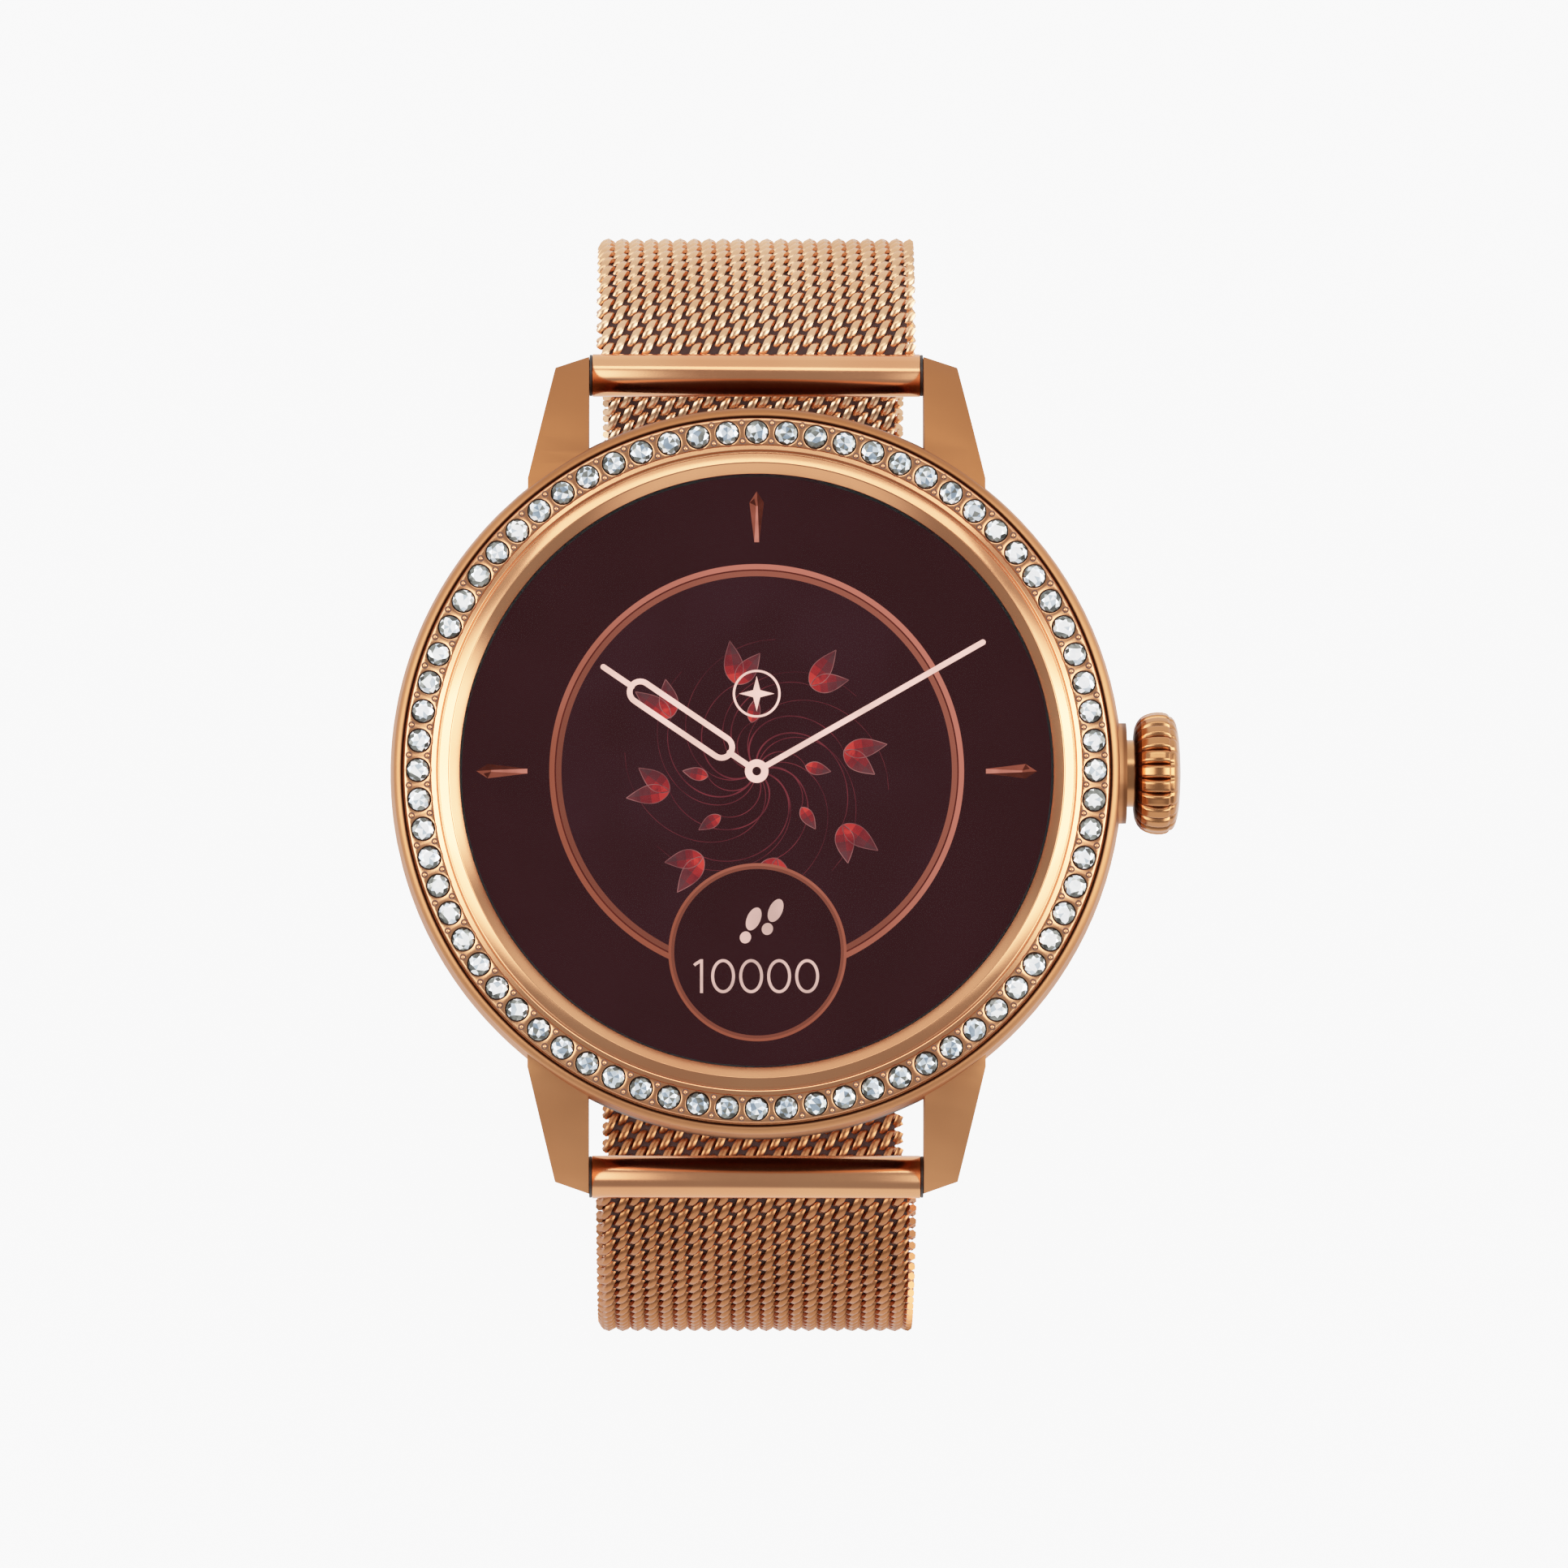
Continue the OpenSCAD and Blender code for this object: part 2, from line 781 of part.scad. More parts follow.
module mesh_path(angle, r, z_low, end_y) {
    top_z = bar_z - r * cos(angle);
    low_z = z_low + low_bend_r;
    difference() {
        union() {
            ring_sector([strap_reach - r, top_z], r, 0, 90 - angle);
            translate([strap_reach - mesh_t / 2, low_z])
            square([mesh_t, top_z - low_z]);
            ring_sector([flat_y, low_z], low_bend_r, -90, 0);
            translate([end_y, z_low - mesh_t / 2])
            square([flat_y - end_y, mesh_t]);
        }
        translate([bar_y, bar_z])
        circle(end_tube_r);
    }
}

module upper_mesh() {
    color(bright_rose)
    along_x(mesh_w)
    mesh_path(upper_angle, upper_r, upper_z, loop_end_y);
}

module lower_mesh() {
    color(rose)
    mirror([0, 1, 0])
    along_x(mesh_w)
    mesh_path(lower_angle, lower_r, lower_z, tail_cap_l - tail_y);
}

module lever_slot(r, tilt) {
    rotate([tilt, 0, 0])
    block([lever_x - lever_r - tip_travel - 0.1, lever_x + lever_r + 0.1],
        [-lever_r - 0.1, lever_r + 0.1], [-r - 1, 0]);
}

module end_tube(tilt) {
    difference() {
        rod_x(end_tube_r, -end_tube_l / 2, end_tube_l / 2);
        rod_x(barrel_r + run_gap, -lug_gap, lug_gap);
        lever_slot(end_tube_r, tilt);
    }
}

module spring_bar(tilt) {
    end = end_tube_l / 2 - 0.1;
    difference() {
        union() {
            rod_x(barrel_r, -end, end);
            rod_x(tip_r, -lug_gap / 2 - tip_reach, 0.5 - end);
        }
        rod_x(bore_r, spring_seat_x, end - cap_t);
        rod_x(tip_r + run_gap / 2, end - cap_t - 0.1, end + 1);
        lever_slot(barrel_r, tilt);
    }
}

module release_tip(tilt) {
    union() {
        rod_x(rod_r, rod_in_x, rod_in_x + rod_l);
        rod_x(tip_r, rod_in_x + rod_l - 0.5, lug_gap / 2 + tip_reach);
        rotate([tilt, 0, 0])
        translate([lever_x, 0, -lever_reach])
        cylinder(r=lever_r, h=lever_reach);
    }
}

module coil_spring(x0, x1) {
    sides = 6;
    steps = 12;
    rings = spring_turns * steps;
    mean_r = bore_r - run_gap - spring_wire_r;
    function ring_point(i, k) =
        let (turn = 360 * i / steps, across = 360 * k / sides)
        let (r = mean_r + spring_wire_r * cos(across))
        let (x = x0 + spring_wire_r + (x1 - x0 - 2 * spring_wire_r) * i / rings)
        [x + spring_wire_r * sin(across), r * cos(turn), r * sin(turn)];
    points = [for (i = [0:rings]) for (k = [0:sides - 1]) ring_point(i, k)];
    walls = [for (i = [0:rings - 1]) for (k = [0:sides - 1])
        [i * sides + k, i * sides + (k + 1) % sides,
            (i + 1) * sides + (k + 1) % sides, (i + 1) * sides + k]];
    first = [for (k = [0:sides - 1]) sides - 1 - k];
    last = [for (k = [0:sides - 1]) rings * sides + k];
    polyhedron(points, concat([first], walls, [last]));
}

module at_bar(side) {
    translate([0, side * bar_y, bar_z])
    children();
}

module upper_end_tube() {
    color(bright_rose)
    at_bar(1)
    end_tube(upper_tilt);
}

module lower_end_tube() {
    color(bright_rose)
    at_bar(-1)
    end_tube(lower_tilt);
}

module upper_spring_bar() {
    color([0.75, 0.76, 0.78])
    at_bar(1)
    spring_bar(upper_tilt);
}

module lower_spring_bar() {
    color([0.75, 0.76, 0.78])
    at_bar(-1)
    spring_bar(lower_tilt);
}

module upper_release_tip() {
    color([0.78, 0.79, 0.8])
    at_bar(1)
    release_tip(upper_tilt);
}

module lower_release_tip() {
    color([0.78, 0.79, 0.8])
    at_bar(-1)
    release_tip(lower_tilt);
}

module upper_bar_spring() {
    color([0.6, 0.6, 0.62])
    at_bar(1)
    coil_spring(spring_seat_x, rod_in_x);
}

module lower_bar_spring() {
    color([0.6, 0.6, 0.62])
    at_bar(-1)
    coil_spring(spring_seat_x, rod_in_x);
}

// Clasp

module upper_end_loop() {
    side_x = mesh_w / 2 - loop_arm_w;
    color(bright_rose)
    union() {
        translate([0, catch_bar_y, upper_z])
        rod_x(catch_bar_d / 2, -mesh_w / 2, mesh_w / 2);
        for (side = [0, 1])
            mirror([side, 0, 0])
            block([side_x, mesh_w / 2], [catch_bar_y, loop_end_y],
                [upper_z - catch_bar_d / 2 + 0.1, upper_z + catch_bar_d / 2 - 0.1]);
    }
}

module mesh_tail_tip() {
    color(bright_rose)
    difference() {
        block([-mesh_w / 2, mesh_w / 2], [tail_y - tail_cap_l - 0.6, tail_y],
            [lower_z - mesh_t / 2 - 0.1, lower_z + mesh_t / 2 + 0.1]);
        block([-mesh_w, mesh_w], [tail_y - tail_cap_l - 1, tail_y - tail_cap_l],
            [lower_z - mesh_t / 2, lower_z + mesh_t / 2]);
    }
}

module pin_hole(y) {
    translate([0, y, hinge_z])
    rod_x(pin_d / 2, -clasp_w, clasp_w);
}

module clasp_body() {
    skin_z = lower_z + mesh_t / 2 + skin_gap;
    wall_y = [lock_y - 0.9, cover_y + nose_r];
    bar_top = lower_z - mesh_t / 2 - skin_gap;
    color(bright_rose)
    difference() {
        union() {
            block([-clasp_w / 2, clasp_w / 2], wall_y, [skin_z, skin_z + skin_plate_t]);
            for (side = [0, 1])
                mirror([side, 0, 0]) {
                    block([clasp_in_w / 2, clasp_w / 2], [wall_y[0], cover_y],
                        [hinge_z - nose_r, skin_z + 0.1]);
                    block([clasp_in_w / 2, clasp_w / 2], wall_y, [hinge_z, skin_z + 0.1]);
                    translate([0, cover_y, hinge_z])
                    rod_x(nose_r, clasp_in_w / 2, clasp_w / 2);
                }
            block([-clasp_w / 2, clasp_w / 2], [lock_end_y + 0.1, lock_end_y + 0.8],
                [bar_top - 0.5, bar_top]);
        }
        pin_hole(lock_y);
        pin_hole(cover_y);
    }
}

module hinge_pin(y) {
    translate([0, y, hinge_z])
    rod_x(pin_d / 2, -clasp_w / 2, clasp_w / 2);
}

module lock_pin() {
    color([0.75, 0.76, 0.78])
    hinge_pin(lock_y);
}

module cover_pin() {
    color([0.75, 0.76, 0.78])
    hinge_pin(cover_y);
}

module hinged_plate(y, end_y) {
    union() {
        block([-knuckle_x, knuckle_x], [y + 0.2, end_y], [base_z, base_z + plate_t]);
        translate([0, y, hinge_z])
        rod_x(knuckle_r, -knuckle_x, knuckle_x);
        block([-knuckle_x, knuckle_x], [y, y + 0.8], [base_z, hinge_z]);
    }
}

module knuckle_bore(y) {
    translate([0, y, hinge_z])
    rod_x(pin_d / 2 + run_gap, -clasp_w, clasp_w);
}

module lock_flap() {
    ridge_top = lower_z - mesh_t / 2 - 0.05;
    color(rose)
    difference() {
        union() {
            hinged_plate(lock_y, lock_end_y);
            block([-knuckle_x, knuckle_x], [lock_end_y - 2.2, lock_end_y - 1.2],
                [base_z + 0.1, ridge_top]);
        }
        knuckle_bore(lock_y);
        block([-2, 2], [lock_end_y - 0.8, lock_end_y + 1], [base_z - 1, base_z + 0.3]);
    }
}

module clasp_cover() {
    catch_top = upper_z - catch_bar_d / 2 + catch_hold;
    side_y = [cover_y + 1.4, cover_end_y];
    color(bright_rose)
    difference() {
        union() {
            hinged_plate(cover_y, cover_end_y);
            block([-clasp_w / 2, clasp_w / 2], side_y, [base_z, base_z + plate_t]);
            for (side = [0, 1])
                mirror([side, 0, 0])
                block([clasp_w / 2 - 0.5, clasp_w / 2], side_y, [base_z, upper_z + 0.3]);
            block([-lip_x, lip_x], [catch_y, catch_y + catch_t], [base_z + 0.1, catch_top]);
        }
        knuckle_bore(cover_y);
    }
}

mid_case();
bezel_ring();
bezel_stones();
bezel_seal();
cover_glass();
glass_gasket();
display_panel();
display_flex();
inner_frame();
main_board();
board_chips();
shield_can();
battery();
battery_lead();
foam_pad();
vibration_motor();
speaker_module();
speaker_mesh();
microphone();
antenna_strip();
crown_tube();
crown_switch();
crown_flex();
encoder_reader();
encoder_wheel();
crown_knob();
crown_stem();
crown_seals();
stem_clip();
sensor_board();
sensor_leds();
photodiodes();
sensor_baffle();
sensor_window();
rear_cover();
rear_gasket();
rear_screws();
charging_contacts();
contact_insulators();
charging_magnets();
upper_end_tube();
upper_mesh();
upper_spring_bar();
upper_bar_spring();
upper_release_tip();
upper_end_loop();
lower_end_tube();
lower_mesh();
lower_spring_bar();
lower_bar_spring();
lower_release_tip();
mesh_tail_tip();
clasp_body();
lock_pin();
lock_flap();
cover_pin();
clasp_cover();
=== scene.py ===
import json
import math
import random

import bmesh
import bpy
import numpy as np
from mathutils import Matrix, Vector


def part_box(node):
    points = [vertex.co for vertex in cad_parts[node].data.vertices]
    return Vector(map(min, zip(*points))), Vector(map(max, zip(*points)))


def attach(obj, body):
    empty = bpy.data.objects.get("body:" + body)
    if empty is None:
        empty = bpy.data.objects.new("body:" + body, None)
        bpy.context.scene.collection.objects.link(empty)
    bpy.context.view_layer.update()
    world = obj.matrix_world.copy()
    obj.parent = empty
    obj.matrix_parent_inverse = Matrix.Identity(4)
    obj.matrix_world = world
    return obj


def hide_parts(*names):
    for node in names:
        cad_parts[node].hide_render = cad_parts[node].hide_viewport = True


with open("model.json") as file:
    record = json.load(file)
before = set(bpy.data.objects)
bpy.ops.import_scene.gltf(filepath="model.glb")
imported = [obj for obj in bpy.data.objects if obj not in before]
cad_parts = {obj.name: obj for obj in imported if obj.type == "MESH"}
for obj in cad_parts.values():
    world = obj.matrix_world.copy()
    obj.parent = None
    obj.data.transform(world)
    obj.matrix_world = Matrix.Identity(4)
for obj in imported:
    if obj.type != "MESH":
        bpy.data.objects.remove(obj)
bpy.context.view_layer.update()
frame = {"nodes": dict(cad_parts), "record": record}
MM = 0.001
FULL_TURN = 2 * math.pi
TONE_RATE = 1.3  # how fast the picture's tone rises with light

# Places and sizes that the pieces share, in millimetres, most of them read from the frame


def low(node):
    """The lowest corner of a CAD node, in millimetres."""
    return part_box(node)[0] / MM


def high(node):
    """The highest corner of a CAD node, in millimetres."""
    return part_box(node)[1] / MM


def middle(node):
    """The middle of a CAD node's box, in millimetres."""
    return (low(node) + high(node)) / 2


CASE_R = -low("mid_case").x
BEZEL_R = high("bezel_ring").x
BEZEL_TOP = high("bezel_ring").z
BEZEL_SEAT_Z = low("bezel_ring").z
GLASS_R = high("cover_glass").x
GLASS_UNDER = low("cover_glass").z
SCREEN_R = GLASS_R - 0.5
STONE_D = 1.38
STONE_RING_R = high("bezel_stones").x - STONE_D / 2
STONE_COUNT = 72
TRACK_Z = BEZEL_TOP - 0.14
CROWN_Z = middle("crown_knob").z
CROWN_X = high("crown_knob").x - 2.8
BAR_Y = middle("upper_end_tube").y
BAR_Z = middle("upper_end_tube").z
TUBE_R = (high("upper_end_tube").z - low("upper_end_tube").z) / 2
MESH_W = high("upper_mesh").x - low("upper_mesh").x
MESH_T = 1.4
STRAP_REACH = high("upper_mesh").y - MESH_T / 2
LOW_BEND_R = 20.6
LOW_LEVEL = middle("mesh_tail_tip").z
FLOOR_Z = low("clasp_cover").z


# Shader nodes


def colour(code):
    """The linear colour of a hexadecimal screen colour."""
    parts = [int(code[i:i + 2], 16) / 255 for i in (0, 2, 4)]
    linear = [p / 12.92 if p <= 0.04045 else ((p + 0.055) / 1.055) ** 2.4 for p in parts]
    return (*linear, 1.0)


def toned(light):
    """The screen level, from 0 to 1, that the picture gives a level of light."""
    return 1 - math.exp(-TONE_RATE * light)


def shown(code):
    """The light that the picture shows as a hexadecimal screen colour."""
    return (*(-math.log(1 - min(c, 0.97)) / TONE_RATE for c in colour(code)[:3]), 1.0)


class Wire:
    """A node's output. An expression on it adds Math nodes."""

    def __init__(self, nodes, socket):
        self.nodes = nodes
        self.socket = socket

    def math(self, operation, first, second):
        return self.nodes.node("Math", {"operation": operation}, {0: first, 1: second})

    def __add__(self, other):
        return self.math("ADD", self, other)

    def __radd__(self, other):
        return self.math("ADD", other, self)

    def __sub__(self, other):
        return self.math("SUBTRACT", self, other)

    def __rsub__(self, other):
        return self.math("SUBTRACT", other, self)

    def __mul__(self, other):
        return self.math("MULTIPLY", self, other)

    def __rmul__(self, other):
        return self.math("MULTIPLY", other, self)


class Nodes:
    """A node tree, empty at first, whose nodes come from one method."""

    def __init__(self, tree):
        self.tree = tree
        tree.nodes.clear()

    def node(self, kind, settings, inputs, out=0):
        """Adds a node, sets its settings and then its inputs, and gives one of its outputs."""
        made = self.tree.nodes.new("ShaderNode" + kind)
        for key, value in settings.items():
            setattr(made, key, value)
        for key, value in inputs.items():
            if isinstance(value, Wire):
                self.tree.links.new(value.socket, made.inputs[key])
            else:
                made.inputs[key].default_value = value
        return Wire(self, made.outputs[out]) if made.outputs else None

    def axes(self, vector):
        """The X, Y and Z parts of a vector."""
        split = self.node("SeparateXYZ", {}, {"Vector": vector}).socket.node
        return [Wire(self, split.outputs[axis]) for axis in "XYZ"]

    def size_of(self, value):
        """A value without its sign."""
        return value.math("ABSOLUTE", value, 0.0)

    def place(self, stretch=(1, 1, 1), turn=(0, 0, 0)):
        """Object coordinates in millimetres, stretched and turned."""
        here = self.node("TexCoord", {}, {}, out="Object")
        scale = [s / MM for s in stretch]
        return self.node("Mapping", {}, {"Vector": here, "Scale": scale, "Rotation": turn})

    def noise(self, where, scale, detail=3.0, roughness=0.5):
        """Cloudy noise from 0 to 1."""
        values = {"Vector": where, "Scale": scale, "Detail": detail, "Roughness": roughness}
        return self.node("TexNoise", {}, values, out="Fac")

    def step(self, value, start, end):
        """0 below start, 1 above end and smooth between them."""
        return self.node("MapRange", {"interpolation_type": "SMOOTHSTEP"},
                         {"Value": value, "From Min": start, "From Max": end}, out="Result")

    def mix(self, share, first, second):
        """A mix of two colours."""
        return self.node("Mix", {"data_type": "RGBA"}, {0: share, 6: first, 7: second}, out=2)


class Finish(Nodes):
    """A material on its own node tree."""

    def __init__(self, name):
        self.material = bpy.data.materials.new(name)
        self.material.use_nodes = True
        super().__init__(self.material.node_tree)

    def bump(self, height, depth):
        """A normal from a height, with its depth in millimetres."""
        return self.node("Bump", {}, {"Height": height, "Strength": 1.0, "Distance": depth * MM})

    def surface(self, values):
        """Ends the tree in one shader with these inputs, and gives the material."""
        shader = self.node("BsdfPrincipled", {}, values)
        self.node("OutputMaterial", {}, {"Surface": shader})
        return self.material


def plated(name, light, deep, roughness, lines=(1, 1, 1), line_depth=0.002, wear="f0d8bc"):
    """Plated steel: drifting colour, fine polishing lines, and specks where the plate is rubbed."""
    f = Finish(name)
    drift = f.noise(f.place(), 0.11, 2.0)
    grain = f.noise(f.place(lines), 9.0, 4.0, 0.6)
    smudge = f.noise(f.place(), 0.5, 4.0, 0.6)
    rubbed = f.step(f.noise(f.place(), 2.6, 5.0, 0.7), 0.70, 0.78)
    base = f.mix(f.step(drift, 0.3, 0.7), colour(deep), colour(light))
    base = f.mix(rubbed * 0.25, base, colour(wear))
    return f.surface({
        "Base Color": base,
        "Metallic": 1.0,
        "Roughness": smudge * 0.10 + grain * 0.06 + (roughness - 0.08),
        "Normal": f.bump(grain, line_depth),
    })


def case_metal(name):
    """Satin metal for the case, with painted shade: a dark ring on the case top beside the bezel, dark
    walls between the lugs below the bars, a darker block where the crown is fixed, and darker metal
    towards +Y over the upper lugs.
    """
    f = Finish(name)
    here = f.place()
    across, along, height = f.axes(here)
    flat = f.node("VectorMath", {"operation": "LENGTH"}, {0: f.place((1, 1, 0))}, out="Value")
    # Painted shade: a dark ring on the case top beside the bezel, where the gap to the bezel lies in
    # shadow.
    seam_shade = (1.0 - f.step(flat, BEZEL_R + 0.2, BEZEL_R + 0.3)) * f.step(height, 9.7, 9.85)
    # Painted shade: the case wall between the lugs, below the bars, is darkened as if in shadow, so the
    # end tubes reflect dark there.
    between = 1.0 - f.step(f.size_of(across), 9.4, 9.9)
    recess_shade = between * f.step(f.size_of(along), 18.6, 19.4) * (1.0 - f.step(height, 6.5, 8.0))
    # Painted shade: the crown's boss at the case's side is darkened.
    boss_shade = f.step(across, CASE_R - 0.15, CASE_R + 0.05)
    drift = f.noise(here, 0.11, 2.0)
    grain = f.noise(f.place((0.4, 5, 5)), 9.0, 4.0, 0.6)
    smudge = f.noise(here, 0.5, 4.0, 0.6)
    base = f.mix(f.step(drift, 0.3, 0.7), colour("ba7a50"), colour("c48458"))
    # Painted shade: the case grows darker towards +Y, over the upper lugs.
    base = f.mix(f.step(along, 14.5, 17.5), base, colour("a4673f"))
    base = f.mix(seam_shade.math("MAXIMUM", seam_shade, recess_shade), base, colour("30170c"))
    base = f.mix(boss_shade, base, colour("7c4c2e"))
    return f.surface({
        "Base Color": base,
        "Metallic": 1.0,
        "Roughness": smudge * 0.1 + grain * 0.06 + 0.38,
        "Normal": f.bump(grain, 0.0016),
    })


def moulded(name, tint, deep, roughness, grain_scale=14.0, grain_depth=0.012, coat=0.0):
    """Moulded plastic, rubber or film: a fine grain and a faint change of tone."""
    f = Finish(name)
    cloud = f.noise(f.place(), 0.7, 3.0)
    grain = f.noise(f.place(), grain_scale, 3.0, 0.6)
    return f.surface({
        "Base Color": f.mix(cloud, colour(deep), colour(tint)),
        "Roughness": cloud * 0.12 + grain * 0.08 + (roughness - 0.1),
        "Normal": f.bump(grain, grain_depth),
        "Coat Weight": coat,
        "Coat Roughness": 0.1,
    })


def lit(name, tint, deep, patch=0.4):
    """A colour on the lit display, with a faint drift of brightness."""
    f = Finish(name)
    drift = f.step(f.noise(f.place(), patch, 2.0), 0.3, 0.7)
    shade = f.mix(drift, shown(deep), shown(tint))
    return f.surface({
        "Base Color": (0.0, 0.0, 0.0, 1.0),
        "Roughness": 0.5 + drift * 0.1,
        "Specular IOR Level": 0.0,
        "Emission Color": shade,
        "Emission Strength": 1.0,
    })


def lit_ring(name, light, deep):
    """A ring on the lit display, which is lighter where it turns towards the upper right."""
    f = Finish(name)
    right, up, _ = f.axes(f.place())
    across = right * 0.042 + up * 0.05
    patch = f.noise(f.place(), 0.18, 2.0)
    share = f.step(across + patch, -0.2, 1.1)
    return f.surface({
        "Base Color": (0.0, 0.0, 0.0, 1.0),
        "Roughness": 0.5,
        "Specular IOR Level": 0.0,
        "Emission Color": f.mix(share, shown(deep), shown(light)),
        "Emission Strength": 1.0,
    })


def cut_crystal(name, tint, deep, metallic):
    """A facet of a foil-backed crystal, in one fixed tone that paints its reflection."""
    f = Finish(name)
    cloud = f.noise(f.place(), 2.2, 2.0)
    return f.surface({
        "Base Color": f.mix(f.step(cloud, 0.35, 0.65), colour(deep), colour(tint)),
        "Metallic": metallic,
        "Roughness": cloud * 0.06 + 0.03,
        "Coat Weight": 1.0,
        "Coat Roughness": 0.02,
    })


def clear_pane(name, opacity, tint):
    """Coated glass: mostly clear, with a thin reflection and faint smears."""
    f = Finish(name)
    smear = f.noise(f.place(), 0.25, 4.0, 0.6)
    return f.surface({
        "Base Color": colour(tint),
        "Roughness": smear * 0.08 + 0.02,
        "Specular IOR Level": 0.3,
        "Alpha": smear * 0.03 + opacity,
    })


FINISHES = {
    "satin_rose": plated("satin_rose", "d08c60", "c47f55", 0.36, (0.4, 5, 5), 0.0016),
    "case_rose": case_metal("case_rose"),
    "polished_rose": plated("polished_rose", "e9a274", "e2966a", 0.15, (1, 1, 1), 0.0008),
    "crown_rose": plated("crown_rose", "c8895c", "b8784c", 0.19, (6, 1, 1), 0.001),
    "mesh_rose": plated("mesh_rose", "edb890", "e0a67c", 0.26, (1, 1, 1), 0.002),
    # Painted shade: a darker copy of the mesh finish for the lower strap, which faces away from the bright
    # side of the room.
    "shaded_mesh_rose": plated("shaded_mesh_rose", "bf7a50", "aa6a42", 0.30, (1, 1, 1), 0.002),
    # Painted shade for the crown's flute bottoms and inner shoulder.
    "crown_shade": plated("crown_shade", "6a3a20", "4a2614", 0.3),
    # Real collars, coloured near black to paint the shade in the gaps beside the end tubes.
    "collar_steel_shade": moulded("collar_steel_shade", "2c201a", "1c1410", 0.4, 9.0, 0.002),
    # Painted shade seen through the gaps of the weaves.
    "mesh_shade": moulded("mesh_shade", "3a140a", "200a04", 0.8),
    # Painted shade for the stone seats and for the dark discs under the grain beads.
    "seat_shade": moulded("seat_shade", "5a3420", "3c2014", 0.5),
    "clasp_rose": plated("clasp_rose", "dca078", "cc8c64", 0.30, (0.5, 6, 6), 0.0016),
    "cover_glass": clear_pane("cover_glass", 0.08, "10100f"),
    "dark_glass": moulded("dark_glass", "0b0d10", "050608", 0.16, 4.0, 0.001, 1.0),
    "rear_plastic": moulded("rear_plastic", "1e1c1d", "151415", 0.55),
    "dark_plastic": moulded("dark_plastic", "17171a", "0e0e10", 0.5),
    "insulator_plastic": moulded("insulator_plastic", "d8d4ca", "c8c3b8", 0.45),
    "chip_black": moulded("chip_black", "101012", "08080a", 0.5, 20.0),
    "circuit_board": moulded("circuit_board", "0c4a2c", "083420", 0.4, 5.0, 0.01, 0.4),
    "flex_film": moulded("flex_film", "b06a22", "8a4e16", 0.35, 5.0, 0.004, 0.3),
    "foam": moulded("foam", "33333a", "202024", 0.95, 9.0, 0.06),
    "battery_wrap": moulded("battery_wrap", "50545c", "3c4048", 0.35, 3.0, 0.01, 0.3),
    "seal_rubber": moulded("seal_rubber", "0d0d0d", "060606", 0.75, 18.0, 0.008),
    "bright_steel": plated("bright_steel", "d2d3d4", "b4b5b7", 0.26, (1, 6, 6), 0.001, "ececec"),
    "fine_steel_mesh": moulded("fine_steel_mesh", "58585c", "1c1c1e", 0.4, 22.0, 0.05),
    "contact_gold": plated("contact_gold", "e6c06a", "cfa34c", 0.22, (1, 1, 1), 0.001, "fff0c0"),
    "led_green": moulded("led_green", "8fe0a8", "5cb87c", 0.2, 4.0, 0.002, 0.8),
}
SLOT_OF = {row["node"]: row["material_slot"] for row in frame["record"]["subparts"]}


# Building meshes


class Shape:
    """Points and faces gathered for one piece. Each face has a tone, the index of its material."""

    def __init__(self):
        self.points = []
        self.faces = []
        self.tones = []

    def add(self, points, faces, tone=0):
        start = len(self.points)
        self.points += [tuple(p) for p in points]
        self.faces += [tuple(start + i for i in face) for face in faces]
        self.tones += [tone] * len(faces)

    def add_rings(self, rings, tone=0, around=True, closed=False, caps=False):
        """Joins rings of points, each with as many points, into a skin."""
        count = len(rings[0])
        across = count if around else count - 1
        along = len(rings) if closed else len(rings) - 1
        faces = []
        for i in range(along):
            a, b = i * count, (i + 1) % len(rings) * count
            for k in range(across):
                n = (k + 1) % count
                faces.append((a + k, a + n, b + n, b + k))
        if caps:
            faces.append(tuple(reversed(range(count))))
            faces.append(tuple((len(rings) - 1) * count + k for k in range(count)))
        self.add([p for ring in rings for p in ring], faces, tone)

    def build(self, name, body, slot, materials, replaces=(), crease=35, merge=1e-4):
        """Makes the piece from points in millimetres, and lets it ride on a body."""
        mesh = bpy.data.meshes.new(name)
        mesh.from_pydata([(x * MM, y * MM, z * MM) for x, y, z in self.points], [], self.faces)
        for material in materials:
            mesh.materials.append(material)
        mesh.polygons.foreach_set("material_index", self.tones)
        if merge:
            weld(mesh, merge * MM)
        mesh.shade_smooth()
        mesh.set_sharp_from_angle(angle=math.radians(crease))
        piece = bpy.data.objects.new(name, mesh)
        bpy.context.scene.collection.objects.link(piece)
        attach(piece, body)
        if replaces:
            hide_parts(*replaces)
        return piece


def weld(mesh, distance):
    """Joins points that coincide and turns every face outwards."""
    work = bmesh.new()
    work.from_mesh(mesh)
    bmesh.ops.remove_doubles(work, verts=work.verts, dist=distance)
    bmesh.ops.recalc_face_normals(work, faces=work.faces)
    work.to_mesh(mesh)
    work.free()


def turned(profile, steps):
    """A profile of radius and height, turned round +Z: one ring of points for each of its points."""
    turns = [FULL_TURN * i / steps for i in range(steps)]
    return [[(r * math.sin(a), r * math.cos(a), z) for a in turns] for r, z in profile]


def arc(centre, radius, start, end, count):
    """Points on an arc, with angles in degrees."""
    angles = [math.radians(start + (end - start) * i / (count - 1)) for i in range(count)]
    return [(centre[0] + radius * math.cos(a), centre[1] + radius * math.sin(a)) for a in angles]


def polar(radius, bearing):
    """A point at a bearing in degrees, clockwise from 12 o'clock."""
    return radius * math.sin(math.radians(bearing)), radius * math.cos(math.radians(bearing))


# Case: the CAD shapes with softened edges


